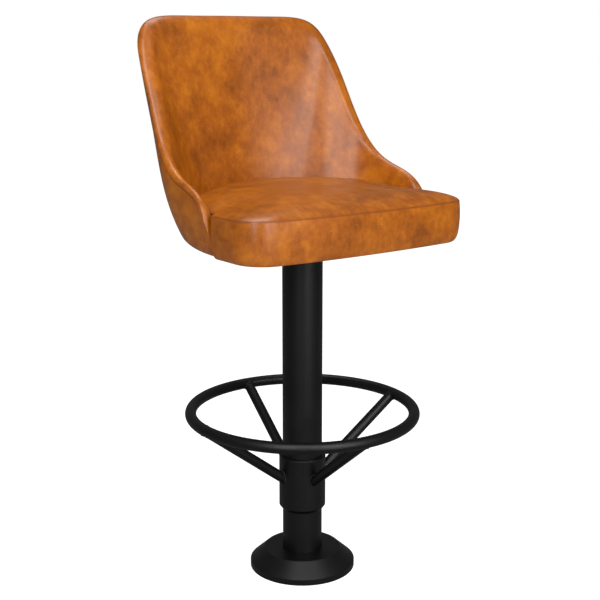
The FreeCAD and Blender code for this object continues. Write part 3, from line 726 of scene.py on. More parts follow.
@dataclass
class Ribs:
    """Ribs of the back shell, one row of numbers for each rib."""

    # Its lower and upper ends, and its share of the full thickness round the arm's end.
    foot: Points
    rim: Points
    thinning: Points
    # Its bow outwards, its face's swell, half its thickness and how far it is behind the arm's end.
    bow: Points
    swell: Points
    half: Points
    behind: Points
    # Sizes that the ribs share: half the back's thickness, and those of the foot's and rim's bends.
    half_back: float
    foot_radius: float
    tight_share: float
    soft_turn: float
    # Directions up it, square to it and level, its length, and the radii of the rim's two bends.
    along: Points = field(init=False)
    length: Points = field(init=False)
    outward: Points = field(init=False)
    level: Points = field(init=False)
    tight: Points = field(init=False)
    soft: Points = field(init=False)

    def __post_init__(self) -> None:
        """Work out the directions along and across each rib, and the rim's two bends."""
        reach = self.rim - self.foot
        self.length = np.linalg.norm(reach, axis=1)
        self.along = reach / self.length[:, None]
        middle = self.rim + self.foot
        around = np.empty_like(middle)
        around[1:-1] = middle[2:] - middle[:-2]
        around[0], around[-1] = around[1], around[-2]
        around[:, 2] = 0
        self.outward = self.unit(np.cross(self.along, around))
        slope = self.outward[:, 2] / self.along[:, 2]
        self.level = self.unit(self.outward - self.along * slope[:, None])
        lean = math.cos(self.soft_turn)
        self.tight = self.half * self.tight_share
        self.soft = (2 * self.half - self.tight * (1 + lean)) / (1 - lean)

    @staticmethod
    def unit(rows: Points) -> Points:
        """Scale each row to length one."""
        return rows / np.linalg.norm(rows, axis=1, keepdims=True)

    def high(self) -> Points:
        """Distance up each rib to the centre of the rim's tight outer bend."""
        return self.length - self.tight * self.thinning

    def low(self) -> Points:
        """Distance up each rib to the centre of the rim's soft inner bend."""
        return self.high() - (self.soft - self.tight) * math.sin(self.soft_turn) * self.thinning

    def face_turn(self) -> Points:
        """Lean of the inner face where the rim's soft bend takes over."""
        return np.arctan(4 * self.swell / self.low())

    def face_top(self) -> Points:
        """Distance up each rib to the end of the inner face."""
        return self.low() + self.soft * np.sin(self.face_turn()) * self.thinning

    def at(self, across: Points, up: Points) -> Points:
        """Point of each rib outward of the padded shell's middle and up the rib.

        Args:
            across: distance outward of the middle.
            up: distance up each rib.

        Returns:
            One place for each rib.
        """
        share = up / self.length
        turned = np.maximum(0, up - self.foot_radius) / (self.length - self.foot_radius)
        direction = self.level + (self.outward - self.level) * turned[:, None]
        bowed = self.half_back - self.half + across * self.thinning
        bowed = bowed + self.bow * 4 * share * (1 - share)
        return self.foot + self.along * up[:, None] + direction * bowed[:, None]

    def face(self, share: float, foot: Points) -> Points:
        """Point of each rib's inner face.

        Args:
            share: way up the face, from its foot to the rim's soft bend.
            foot: distance up each rib where the face starts.

        Returns:
            One place for each rib.
        """
        top = self.face_top()
        up = foot + (top - foot) * share
        rise = up / top
        across = self.soft * (1 - np.cos(self.face_turn())) * share ** 2 - self.half
        return self.at(across, up) - self.outward * (self.swell * 4 * rise * (1 - rise))[:, None]

    def on_bend(self, share: float, soft: bool) -> Points:
        """Point on one of the rim's two bends.

        Args:
            share: way round the bend, from its inner end to its outer end.
            soft: the soft inner bend instead of the tight outer one.

        Returns:
            One place for each rib.
        """
        start = self.face_turn() if soft else np.full(len(self.half), self.soft_turn)
        end = self.soft_turn if soft else math.pi
        turn = start + (end - start) * share
        radius, centre = (self.soft, self.low()) if soft else (self.tight, self.high())
        middle = self.soft - self.half if soft else self.half - self.tight
        return self.at(middle - radius * np.cos(turn),
                       centre + radius * np.sin(turn) * self.thinning)

    def outside_length(self, tail: float) -> Points:
        """Length of the outer side from the rim's bend down and under to the tail's end."""
        return self.high() - self.foot_radius * (1 - math.pi / 2) + tail

    def outside(self, way: Points, inset: float = 0.0) -> Points:
        """Point of each rib's outer side.

        Args:
            way: distance from the rim's bend down the side, round the foot and in under it.
            inset: depth under the outer surface.

        Returns:
            One place for each rib.
        """
        side = self.high() - self.foot_radius
        past = way - side
        turn = np.clip(past / self.foot_radius, 0, math.pi / 2)
        under = np.maximum(0, past - self.foot_radius * math.pi / 2)
        radius = self.foot_radius - inset
        across = self.half - self.foot_radius + radius * np.cos(turn) - under
        up = np.where(past < 0, self.high() - way, self.foot_radius - radius * np.sin(turn))
        return self.at(across, up)


@dataclass
class BucketBack:
    """Back and arms: an inner hide over foam, turned over the rim and the ends, and an outer hide."""

    # The padded section, and where along the foot it thins towards the arms.
    thickness: float = 0.030
    arm_thickness: float = 0.020
    thick_share: float = 0.40
    thin_share: float = 0.92
    # The rim's bends: the tight outer one's share of the section, and where the soft one ends.
    tight_share: float = 0.6
    soft_turn: float = math.radians(55)
    # Outlines of the foot, under the seat, and of the rim.
    height: float = 1.0555
    underside: float = 0.6464
    foot_half_width: float = 0.222
    foot_depth: float = 0.244
    foot_centre: float = 0.058
    foot_radius: float = 0.020
    rim_half_width: float = 0.240
    rim_depth: float = 0.247
    bow: float = 0.008
    swell: float = 0.010
    # Layers.
    hide: float = 0.0016
    plywood: float = 0.008
    clearance: float = 0.0003
    padding_foot: float = 0.0265
    foot_share: float = 0.8
    outer_tail: float = 0.008
    # The outer seam, which follows the rim and turns down the arms' ends.
    seam_drop: float = 0.003
    seam_turn_start: float = 0.030
    seam_turn_end: float = 0.0058
    seam_turn_depth: float = 0.035
    end_slack: float = 0.0001
    inner_slack: float = 0.0004
    outer_slack: float = 0.004
    groove_width: float = 0.0018
    outer_start: float = 0.002
    # Distance from the seam, depth and painted shade of each line of its groove.
    groove: tuple[Triple, ...] = (
        (0.0012, 0.0001, 0.1), (0.0007, 0.0003, 0.5), (0.0003, 0.0008, 1.0), (0.0001, 0.0015, 1.0))
    # Ribs, with those round the arms' ends by their angle there.
    rib_count: int = 84
    fine_steps: int = 4000
    nose_angles: tuple[float, ...] = (78, 66, 54, 42, 31, 21, 12, 5, 1)
    # Rows of the section, and how firmly the simulation holds them.
    face_rows: int = 30
    held_foot: float = 0.05
    bend_rows: int = 8
    soft_hold: float = 0.4
    tight_hold: float = 0.9
    turned_rows: int = 10
    lining_rows: int = 5
    bed_shares: tuple[float, ...] = (1.0, 0.66, 0.33, 0.0)
    outer_face_rows: int = 40
    outer_back_rows: int = 20
    held_ribs: int = 8
    # Shares of the half width, depth and height, from the back's middle to the arm's end.
    rim_poles: tuple[Triple, ...] = (
        (0.000, 0.987, 1.001), (0.104, 0.987, 1.001), (0.402, 0.962, 0.999), (0.796, 0.936, 1.004),
        (0.885, 0.826, 0.883), (0.894, 0.611, 0.666), (0.936, 0.435, 0.449), (0.960, 0.203, 0.317),
        (0.970, -0.134, 0.284), (0.990, -0.259, 0.190), (0.994, -0.270, 0.110))
    # Quarter turn of the rib's foot, and shares of the bow and the swell.
    rib_poles: tuple[Triple, ...] = (
        (0.000, 0.96, 0.4), (0.058, 0.96, 0.4), (0.137, 1.06, 0.6), (0.282, 1.04, 0.9),
        (0.457, 1.27, 1.0), (0.542, 1.62, 1.0), (0.611, 1.84, 0.8), (0.739, 1.45, 0.5),
        (0.923, 0.60, 0.2), (1.006, 0.20, 0.0), (1.017, 0.00, 0.0))

    def pole_curve(self, poles: Points, places: Points) -> Points:
        """Points of a clamped cubic spline.

        Args:
            poles: one row for each pole.
            places: parameters from 0 to 1.

        Returns:
            One row for each parameter.
        """
        degree = 3
        spans = len(poles) - degree
        knots = np.concatenate([np.zeros(degree), np.linspace(0, 1, spans + 1), np.ones(degree)])
        inside = np.clip(places, 0, 1 - TINY)
        basis = [((inside >= low) & (inside < high)).astype(float)
                 for low, high in zip(knots, knots[1:])]
        for order in range(1, degree + 1):
            following = []
            for index in range(len(basis) - 1):
                rise = knots[index + order] - knots[index]
                fall = knots[index + order + 1] - knots[index + 1]
                term = np.zeros_like(inside)
                if rise > 0:
                    term += (inside - knots[index]) / rise * basis[index]
                if fall > 0:
                    term += (knots[index + order + 1] - inside) / fall * basis[index + 1]
                following.append(term)
            basis = following
        return np.stack(basis, axis=1) @ poles

    def measures(self, places: Points) -> tuple[Points, Points, Points]:
        """Measure the right half.

        Args:
            places: spline parameters from 0 at the back's middle to 1 at the arm's end.

        Returns:
            Rim points, foot points and rib measures, one row for each parameter.
        """
        rise = self.height - self.underside
        rim = self.pole_curve(np.array(self.rim_poles), places)
        rim *= (self.rim_half_width, self.rim_depth, rise)
        rim[:, 2] += self.underside
        rib = self.pole_curve(np.array(self.rib_poles), places)
        angle = np.radians(90 * rib[:, 0])
        foot = np.stack([self.foot_half_width * np.sin(angle),
                         self.foot_depth * np.cos(angle) - self.foot_centre,
                         np.full(len(angle), self.underside)], axis=1)
        return rim, foot, rib

    def ribs(self) -> Ribs:
        """Work out the ribs.

        Returns:
            The ribs from the arm's end at -X round the back to the one at +X.
        """
        table = np.linspace(0, 1, self.fine_steps + 1)
        late = self.fine_steps // 2
        rim, foot, _ = self.measures(table)
        travelled = np.concatenate([[0], np.cumsum(np.linalg.norm(np.diff(rim, axis=0), axis=1))])
        stands = (rim[:, 1] + foot[:, 1]) / 2
        behind = stands - stands[-1]
        half_arm = self.arm_thickness / 2
        last_full = float(np.interp(-half_arm, -behind[late:], table[late:]))
        reach = float(np.interp(last_full, table, travelled))
        even = np.interp(np.linspace(0, reach, self.rib_count + 1), travelled, table)
        turns = np.radians(self.nose_angles)
        nose = np.interp(-half_arm * (1 - np.cos(turns)), -behind[late:], table[late:])
        places = np.concatenate([even, nose])
        thinning = np.concatenate([np.ones(len(even)), np.sin(turns)])
        rim, foot, rib = self.measures(places)
        share = np.clip((rib[:, 0] - self.thick_share) / (self.thin_share - self.thick_share), 0, 1)
        half = self.thickness / 2 + (half_arm - self.thickness / 2) * share ** 2 * (3 - 2 * share)
        order = np.arange(len(places) - 1, 0, -1)

        def whole(rows: Points, flip: bool = False) -> Points:
            """Put the mirrored left half before the right one."""
            left = rows[order] * (-1.0, 1.0, 1.0) if flip else rows[order]
            return np.concatenate([left, rows])

        return Ribs(whole(foot, True), whole(rim, True), whole(thinning),
                    whole(self.bow * rib[:, 1]), whole(self.swell * rib[:, 2]), whole(half),
                    whole(np.interp(places, table, behind)), self.thickness / 2, self.foot_radius,
                    self.tight_share, self.soft_turn)

    def at_arm_end(self, ribs: Ribs) -> Points:
        """Tell for each rib whether it stands in front of the outer seam's turn."""
        return ribs.behind < self.seam_turn_end - self.end_slack

    def seam_way(self, ribs: Ribs, slack: float) -> Points:
        """Distance of the outer seam down each rib: along the rim, then down the arms' ends.

        Args:
            ribs: the shell's ribs.
            slack: what the seam stays short of the tail's end on the arms' ends.

        Returns:
            One distance for each rib.
        """
        span = self.seam_turn_start - self.seam_turn_end
        share = np.clip((self.seam_turn_start - ribs.behind) / span, 0, 1)
        way = self.seam_drop + self.seam_turn_depth * (1 - np.sqrt(1 - share ** 2))
        whole = ribs.outside_length(self.outer_tail) - slack
        return np.where(self.at_arm_end(ribs), whole, np.minimum(way, whole))

    def inner_rows(self, ribs: Ribs) -> tuple[list[Points], list[float], list[float]]:
        """Rows of the inner padding, round its whole section.

        Args:
            ribs: the shell's ribs.

        Returns:
            The rows, how far each is held in the simulation, and how dark its painted seam shade is.
        """
        foot = np.minimum(self.padding_foot, ribs.high() * self.foot_share)
        seam = self.seam_way(ribs, self.inner_slack)
        rows, held, shade = [], [], []

        def put(row: Points, hold: float, dark: float = 0.0) -> None:
            """Add one row.

            Args:
                row: its points, one for each rib.
                hold: how far the simulation holds it.
                dark: how dark its painted seam shade is.
            """
            rows.append(row)
            held.append(hold)
            shade.append(dark)

        for share in np.linspace(0, 1, self.face_rows):
            put(ribs.face(share, foot), 1.0 if share < self.held_foot else 0.0)
        for soft, hold in ((True, self.soft_hold), (False, self.tight_hold)):
            for share in even_shares(self.bend_rows):
                put(ribs.on_bend(share, soft), hold)
        for share in even_shares(self.turned_rows):
            put(ribs.outside((seam - self.groove_width) * share), 1.0)
        for short, sink, dark in self.groove:
            put(ribs.outside(seam - short, sink), 1.0, dark)
        # The hidden lining and bed rows below get full painted shade.
        lining = self.hide + self.clearance
        bed = ribs.half - lining - self.plywood - self.clearance
        for share in np.linspace(1, 0, self.lining_rows):
            put(ribs.outside(seam * share, lining), 1.0, 1.0)
        top = ribs.high() - self.clearance
        for share in self.bed_shares:
            put(ribs.at(bed, foot + (top - foot) * share), 1.0, 1.0)
        return rows, held, shade

    def outer_rows(self, ribs: Ribs) -> tuple[list[Points], list[float]]:
        """Rows of the outer hide, down its outer face and back up its inner face.

        Args:
            ribs: the shell's ribs.

        Returns:
            The rows and how dark each row's painted seam shade is.
        """
        seam = self.seam_way(ribs, self.outer_slack)
        end = ribs.outside_length(self.outer_tail)
        rows, shade = [], []
        for past, sink, dark in reversed(self.groove):
            rows.append(ribs.outside(seam + past, sink))
            shade.append(dark)
        start = seam + self.outer_start
        for share in np.linspace(0, 1, self.outer_face_rows):
            rows.append(ribs.outside(start + (end - start) * share))
            shade.append(0.0)
        # The hidden inner face gets full painted shade.
        for share in np.linspace(1, 0, self.outer_back_rows):
            rows.append(ribs.outside(start + (end - start) * share, self.hide))
            shade.append(1.0)
        return rows, shade

    def loft(self, name: str, rows: list[Points], shade: list[float],
             columns: slice = slice(None)) -> bpy.types.Object:
        """Make a closed piece from the rows of its section, with its ends closed.

        Args:
            name: the piece's name.
            rows: one row of places for each point of the section.
            shade: how dark each row's painted seam shade is.
            columns: the ribs that the piece reaches over.

        Returns:
            The new object.
        """
        rows = [row[columns] for row in rows]
        count = len(rows[0])
        faces = band_faces(len(rows), count, True, False)
        faces.append([row * count for row in range(len(rows))])
        faces.append([row * count + count - 1 for row in range(len(rows) - 1, -1, -1)])
        piece = make_piece(name, np.concatenate(rows), faces, LEATHER)
        outward(piece)
        write_shade(piece.data, "seam_shade", np.repeat(shade, count))
        return piece

    def build(self) -> None:
        """Make and place both hides of the back."""
        ribs = self.ribs()
        rows, held, shade = self.inner_rows(ribs)
        inner = self.loft("inner_back_upholstery", rows, shade)
        hold = np.repeat(held, len(rows[0])).reshape(len(rows), -1)
        hold[:, :self.held_ribs] = 1.0
        hold[:, -self.held_ribs:] = 1.0
        Padding(pressure=3.0, cap=0.0025, evenings=24).swell(inner, hold.ravel())
        refine(inner)
        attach(inner, "seat")
        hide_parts("inner_back_cover", "back_foam")
        rows, shade = self.outer_rows(ribs)
        ends = int(self.at_arm_end(ribs).sum() / 2) - 1
        outer = self.loft("outer_back_hide", rows, shade, slice(ends, len(ribs.length) - ends))
        refine(outer)
        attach(outer, "seat")
        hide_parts("outer_back_cover")
        LOG.info("back made with %d ribs", len(ribs.length))


@dataclass
class Disc:
    """Square rings that fill a disc with four-cornered faces.

    Each point has its share of the way out and its share of a turn, and edge numbers the outermost
    ring's points in order. A ring has eight points for each step that it lies out. They are counted
    from the middle of its -Y side through +X.
    """

    rings: int
    share: Points = field(init=False)
    turn: Points = field(init=False)
    faces: list[list[int]] = field(init=False)
    edge: Points = field(init=False)

    def __post_init__(self) -> None:
        """Number the rings' points."""
        reach = self.rings
        side = 2 * reach + 1
        self.share = np.zeros(side * side)
        self.turn = np.zeros(side * side)
        for index in range(side * side):
            x, y = index % side - reach, index // side - reach
            ring = max(abs(x), abs(y))
            if ring == 0:
                continue
            if y == -ring and x < ring:
                place = x if x >= 0 else 8 * ring + x
            elif x == ring:
                place = ring + (y + ring)
            elif y == ring:
                place = 3 * ring + (ring - x)
            else:
                place = 5 * ring + (ring - y)
            self.share[index] = ring / reach
            self.turn[index] = place / (8 * ring)
        self.faces = band_faces(side, side, False, False)
        edge = np.flatnonzero(self.share == 1.0)
        self.edge = edge[np.argsort(self.turn[edge], kind="stable")]


@dataclass
class SeatCushion:
    """Thick seat cushion: a crowned panel sewn to a band, over foam and the board's edge."""

    # Heights, and where the front meets the narrower rear.
    seam_height: float = 0.723
    measured_drop: float = 0.0008
    underside: float = 0.6464
    board_top: float = 0.6716
    step_line: float = -0.0674
    step_slack: float = 0.001
    step_reach: float = 0.03
    step_evenings: int = 60
    # The hem goes under the front square to its edge, towards the nearest side of a core.
    hem: float = 0.036
    hide: float = 0.0016
    core_low: tuple[float, float] = (-0.14, -0.155)
    core_high: tuple[float, float] = (0.14, -0.070)
    # Room for the board inside, and lifts that keep faces apart.
    board_gap: float = 0.0155
    board_gap_above: float = 0.0005
    front_lift: float = 0.0005
    rear_lift: float = 0.0012
    rear_hem: float = 0.0003
    # Rings of the crown and rows of the band, with how firmly they are held and how dark their
    # painted shade is.
    rings: int = 30
    crowding: float = 1.25
    crown_edge: float = 0.985
    crown_edge_shade: float = 0.25
    band_shares: tuple[float, ...] = (0.0, 0.02, 0.05, 0.10, 0.17, 0.26, 0.36, 0.47, 0.58, 0.69,
                                      0.79, 0.87, 0.93, 0.965, 0.985, 1.0)
    held_share: float = 0.03
    seam_hold: float = 0.9
    near_seam: float = 0.98
    near_seam_shade: float = 0.35
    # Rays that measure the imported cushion, level towards its hub and down from above.
    hub_y: float = -0.140
    fine_turns: int = 2880
    outside: float = 0.5
    side_reach: float = 0.48
    ceiling: float = 0.9
    drop_reach: float = 0.4
    surface: BVHTree | None = None

    def centre(self) -> Points:
        """Give the middle of the crown's rings, on the floor."""
        return np.array([0.0, self.step_line, 0.0])

    def seam_top(self) -> float:
        """Height just under the seam, where the outline is measured."""
        return self.seam_height - self.measured_drop

    def read_surface(self) -> None:
        """Keep the CAD cushion's hides as one surface to measure."""
        corners, faces, start = [], [], 0
        for name in ("cushion_band", "cushion_panel"):
            mesh = bpy.data.objects[name].data
            corners.append(read_points(mesh))
            faces += [[start + index for index in face.vertices] for face in mesh.polygons]
            start += len(mesh.vertices)
        self.surface = BVHTree.FromPolygons(np.concatenate(corners).tolist(), faces)

    def from_side(self, direction: Points, height: float) -> Points:
        """Outermost point of the cushion in a level direction from its hub.

        Args:
            direction: level unit direction.
            height: height of the ray.

        Returns:
            The point, with nan in place of its numbers where the ray meets no hide.
        """
        start = Vector((direction[0] * self.outside, self.hub_y + direction[1] * self.outside,
                        height))
        inward = Vector((-direction[0], -direction[1], 0))
        hit = self.surface.ray_cast(start, inward, self.side_reach)[0]
        return np.array(hit) if hit is not None else np.full(3, np.nan)

    def from_above(self, x: float, y: float) -> float:
        """Height of the crown.

        Args:
            x: place across the seat.
            y: place along the seat.

        Returns:
            The height there, or the seam's where no hide lies.
        """
        down = Vector((0, 0, -1))
        hit = self.surface.ray_cast(Vector((x, y, self.ceiling)), down, self.drop_reach)[0]
        return hit.z if hit is not None else self.seam_height

    def directions(self, columns: int) -> Points:
        """Level directions from the hub whose points lie evenly round the outline.

        Args:
            columns: how many there are.

        Returns:
            One unit direction for each column, from the front's middle.
        """
        fine = np.radians(np.linspace(-90, 270, self.fine_turns + 1))
        rays = np.stack([np.cos(fine), np.sin(fine)], axis=1)
        edge = np.array([self.from_side(ray, self.seam_top()) for ray in rays])
        steps = np.linalg.norm(np.diff(edge, axis=0), axis=1)
        travelled = np.concatenate([[0], np.cumsum(steps)])
        even = np.interp(np.linspace(0, travelled[-1], columns, endpoint=False), travelled, fine)
        return np.stack([np.cos(even), np.sin(even)], axis=1)

    def side_rows(self, rays: Points) -> tuple[list[Points], list[float], list[float]]:
        """Rows of the band from the hidden inner edge of the hem up to the seam.

        Args:
            rays: level directions of the columns.

        Returns:
            The rows, how far each is held, and how dark each one's painted shade is.
        """
        top = self.seam_top()
        seam = np.array([self.from_side(ray, top) for ray in rays])
        shown = seam[:, 1] < self.step_line + self.step_slack
        low = np.where(shown, self.underside + self.front_lift, self.board_top + self.rear_lift)
        rows, held, shade = [], [], []
        for share in self.band_shares:
            heights = low + (top - low) * share
            row = np.array([self.from_side(ray, height) for ray, height in zip(rays, heights)])
            missing = np.isnan(row[:, 0])
            row[missing] = seam[missing]
            row[missing, 2] = heights[missing]
            rows.append(row)
            held.append(1.0 if share < self.held_share else 0.0)
            shade.append(self.near_seam_shade if share > self.near_seam else 0.0)
        held[-1] = self.seam_hold
        shade[-1] = 1.0
        square = np.clip(rows[0][:, :2], self.core_low, self.core_high) - rows[0][:, :2]
        square /= np.linalg.norm(square, axis=1, keepdims=True)
        inward = np.zeros((len(rays), 3))
        inward[:, :2] = np.where(shown[:, None], square, -rays)
        hem_bottom = rows[0] + inward * self.hem
        hem_bottom[:, 2] = np.where(shown, self.underside, self.board_top)
        hem_top = hem_bottom + (0, 0, self.hide)
        hem_top[~shown, 2] = self.board_top + self.rear_hem
        board_low = rows[0] + inward * self.board_gap
        board_low[:, 2] = hem_top[:, 2]
        board_high = board_low.copy()
        board_high[:, 2] = self.board_top + self.board_gap_above
        # The hidden rows round the board and hem get full painted shade.
        hidden = [board_high, board_low, hem_top, hem_bottom]
        ones = [1.0] * len(hidden)
        return hidden + rows, ones + held, ones + shade

    def crown(self, seam: Points, disc: Disc, spread: Points) -> Points:
        """Points of the crown inside the seam.

        Args:
            seam: the seam's points in order.
            disc: the crown's rings.
            spread: each point's share of the way from the middle to the seam.

        Returns:
            One place for each point of the disc.
        """
        place = disc.turn * len(seam)
        low = np.floor(place).astype(int) % len(seam)
        part = (place - np.floor(place))[:, None]
        outline = seam[low] * (1 - part) + seam[(low + 1) % len(seam)] * part
        points = self.centre() + (outline - self.centre()) * spread[:, None]
        points[:, 2] = [self.from_above(x, y) for x, y in points[:, :2]]
        points[disc.edge] = seam
        self.ease_step(points, disc)
        return points

    def ease_step(self, points: Points, disc: Disc) -> None:
        """Even out the crown's heights where the front meets the narrower rear.

        Args:
            points: the crown's points, changed in place. The outermost ring stays.
            disc: the crown's rings.
        """
        links = np.array([(face[side - 1], face[side]) for face in disc.faces
                          for side in range(len(face))])
        count = np.bincount(links.ravel(), minlength=len(points))
        free = np.exp(-((points[:, 1] - self.step_line) / self.step_reach) ** 2)
        free[disc.edge] = 0
        for _ in range(self.step_evenings):
            total = np.bincount(links[:, 0], points[links[:, 1], 2], len(points))
            total += np.bincount(links[:, 1], points[links[:, 0], 2], len(points))
            points[:, 2] += (total / np.maximum(count, 1) - points[:, 2]) * free

    def build(self) -> None:
        """Make and place the cushion."""
        self.read_surface()
        disc = Disc(self.rings)
        columns = len(disc.edge)
        rows, held, shade = self.side_rows(self.directions(columns))
        spread = 1 - (1 - disc.share) ** self.crowding
        crown = self.crown(rows[-1], disc, spread)
        outline = rows[0][np.round(disc.turn * columns).astype(int) % columns]
        floor = self.centre() + (outline - self.centre()) * disc.share[:, None]
        floor[:, 2] = self.board_top + self.board_gap_above
        count = len(rows) * columns
        top = np.arange(len(crown)) + count
        top[disc.edge] = np.arange(columns) + count - columns
        under = np.arange(len(crown)) + count + len(crown)
        under[disc.edge] = np.arange(columns)
        faces = band_faces(len(rows), columns, False, True)
        faces += [[int(top[index]) for index in face] for face in disc.faces]
        faces += [[int(under[index]) for index in reversed(face)] for face in disc.faces]
        vertices = np.concatenate(rows + [crown, floor])
        hold = np.concatenate([np.repeat(held, columns), np.zeros(len(crown)), np.ones(len(crown))])
        # Painted shade: some at the crown's edge by the seam, full on the hidden underside.
        crown_painted_shade = np.where(spread > self.crown_edge, self.crown_edge_shade, 0.0)
        dark = np.concatenate([np.repeat(shade, columns), crown_painted_shade, np.ones(len(crown))])
        used = np.unique(np.concatenate([np.array(face) for face in faces]))
        renumber = np.full(len(vertices), -1)
        renumber[used] = np.arange(len(used))
        cushion = make_piece("seat_cushion", vertices[used],
                             [renumber[np.array(face)] for face in faces], LEATHER)
        outward(cushion)
        write_shade(cushion.data, "seam_shade", dark[used])
        Padding(pressure=4.0, cap=0.005).swell(cushion, hold[used])
        refine(cushion)
        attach(cushion, "seat")
        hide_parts("cushion_band", "cushion_panel", "cushion_foam")
        LOG.info("cushion made with %d columns", columns)


@dataclass
class RepeatAlongPath:
    """Small shapes set along closed paths by Geometry Nodes, such as weld ripples or staples."""

    name: str
    spacing: float
    size: Triple
    finish: Finish
    spread: float = 0.12
    sides: int = 10
    seed: int = 7

    def tree(self) -> bpy.types.NodeTree:
        """Build the node tree, with its sizes as named inputs.

        Returns:
            The tree.
        """
        tree = bpy.data.node_groups.new(self.name, "GeometryNodeTree")
        for label, kind in (("Geometry", "NodeSocketGeometry"), ("Spacing", "NodeSocketFloat"),
                            ("Size", "NodeSocketVector"), ("Spread", "NodeSocketFloat")):
            tree.interface.new_socket(label, in_out="INPUT", socket_type=kind)
        tree.interface.new_socket("Geometry", in_out="OUTPUT", socket_type="NodeSocketGeometry")
        given = add(tree, "NodeGroupInput").outputs
        curve = add(tree, "GeometryNodeMeshToCurve", {"Mesh": given["Geometry"]})
        points = add(tree, "GeometryNodeResampleCurve", {
            "Curve": curve.outputs["Curve"], "Length": given["Spacing"]}, mode="LENGTH")
        bead = add(tree, "GeometryNodeMeshUVSphere", {
            "Segments": self.sides, "Rings": max(4, self.sides // 2), "Radius": 0.5})
        tangent = add(tree, "GeometryNodeInputTangent")
        turn = add(tree, "FunctionNodeAlignRotationToVector", {
            "Vector": tangent.outputs["Tangent"]}, axis="X")
        low = add(tree, "ShaderNodeMath", {0: 1.0, 1: given["Spread"]}, operation="SUBTRACT")
        high = add(tree, "ShaderNodeMath", {0: 1.0, 1: given["Spread"]}, operation="ADD")
        # Sockets 2, 3 and 1 are a number's least, most and result.
        vary = add(tree, "FunctionNodeRandomValue", {
            2: low.outputs[0], 3: high.outputs[0], "Seed": self.seed}, data_type="FLOAT")
        scale = add(tree, "ShaderNodeVectorMath", {0: given["Size"], "Scale": vary.outputs[1]},
                    operation="SCALE")
        placed = add(tree, "GeometryNodeInstanceOnPoints", {
            "Points": points.outputs["Curve"], "Instance": bead.outputs["Mesh"],
            "Rotation": turn.outputs["Rotation"], "Scale": scale.outputs["Vector"]})
        smooth = add(tree, "GeometryNodeSetShadeSmooth", {"Geometry": placed.outputs["Instances"]})
        real = add(tree, "GeometryNodeRealizeInstances", {"Geometry": smooth.outputs["Geometry"]})
        dressed = add(tree, "GeometryNodeSetMaterial", {
            "Geometry": real.outputs["Geometry"], "Material": self.finish.material()})
        add(tree, "NodeGroupOutput", {"Geometry": dressed.outputs["Geometry"]})
        return tree

    def build(self, paths: list[Points]) -> bpy.types.Object:
        """Make one plain mesh piece along closed paths.

        Args:
            paths: the points of each path.

        Returns:
            The new object.
        """
        mesh = bpy.data.meshes.new(self.name)
        edges, start = [], 0
        for path in paths:
            count = len(path)
            edges += [(start + index, start + (index + 1) % count) for index in range(count)]
            start += count
        mesh.from_pydata(np.concatenate(paths).tolist(), edges, [])
        piece = bpy.data.objects.new(self.name, mesh)
        bpy.context.scene.collection.objects.link(piece)
        modifier = piece.modifiers.new("Along path", "NODES")
        modifier.node_group = self.tree()
        values = {"Spacing": self.spacing, "Size": self.size, "Spread": self.spread}
        for socket in modifier.node_group.interface.items_tree:
            if socket.in_out == "INPUT" and socket.name in values:
                modifier[socket.identifier] = values[socket.name]
        shaped = piece.evaluated_get(bpy.context.evaluated_depsgraph_get())
        made = bpy.data.meshes.new_from_object(shaped)
        piece.modifiers.clear()
        piece.data = made
        LOG.info("%s: %d paths, %d faces", self.name, len(paths), len(made.polygons))
        return piece


@dataclass
class FootrestWelds:
    """Ripples of weld metal round both ends of the footrest's four spokes."""

    sleeve_radius: float = 0.0449
    ring_circle: float = 0.2139
    ring_tube: float = 0.0107
    ring_height: float = 0.3152
    foot_height: float = 0.187
    spoke_radius: float = 0.0099
    spokes: int = 4
    # The first spoke's direction round the column, in degrees from +X: just past -Y.
    first: float = -94.6
    points: int = 72
    # Shares of the spoke between which its skin is searched for the sleeve and for the ring.
    sleeve_search: tuple[float, float] = (-0.1, 0.5)
    ring_search: tuple[float, float] = (0.5, 1.0)
    halvings: int = 40
    ripple_pitch: float = 0.0016
    ripple: Triple = (0.0034, 0.0036, 0.0036)

    def loop(self, angle: float, at_ring: bool) -> Points:
        """Line where a spoke's skin meets the sleeve or the ring.

        Args:
            angle: the spoke's direction round the column, in radians.
            at_ring: whether it is the ring's end instead of the sleeve's.

        Returns:
            The points of the closed line.
        """
        level = np.array([math.cos(angle), math.sin(angle), 0.0])
        foot = level * self.sleeve_radius + (0, 0, self.foot_height)
        head = level * self.ring_circle + (0, 0, self.ring_height)
        reach = np.linalg.norm(head - foot)
        along = (head - foot) / reach
        side = np.array([-level[1], level[0], 0.0])
        above = np.cross(along, side)
        places = []
        for turn in np.linspace(0, math.tau, self.points, endpoint=False):
            skin = foot + self.spoke_radius * (math.cos(turn) * side + math.sin(turn) * above)
            near, far = self.ring_search if at_ring else self.sleeve_search
            for _ in range(self.halvings):
                middle = (near + far) / 2
                place = skin + along * reach * middle
                span = math.hypot(place[0], place[1])
                if at_ring:
                    away = math.hypot(span - self.ring_circle, place[2] - self.ring_height)
                    past = away < self.ring_tube
                else:
                    past = span >= self.sleeve_radius
                near, far = (near, middle) if past else (middle, far)
            places.append(skin + along * reach * (near + far) / 2)
        return np.array(places)

    def build(self) -> None:
        """Make and place the welds."""
        angles = [math.radians(self.first + 360 / self.spokes * spoke)
                  for spoke in range(self.spokes)]
        paths = [self.loop(angle, at_ring) for angle in angles for at_ring in (False, True)]
        welds = RepeatAlongPath("footrest_weld_ripples", self.ripple_pitch, self.ripple,
                                POWDER).build(paths)
        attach(welds, "footrest")


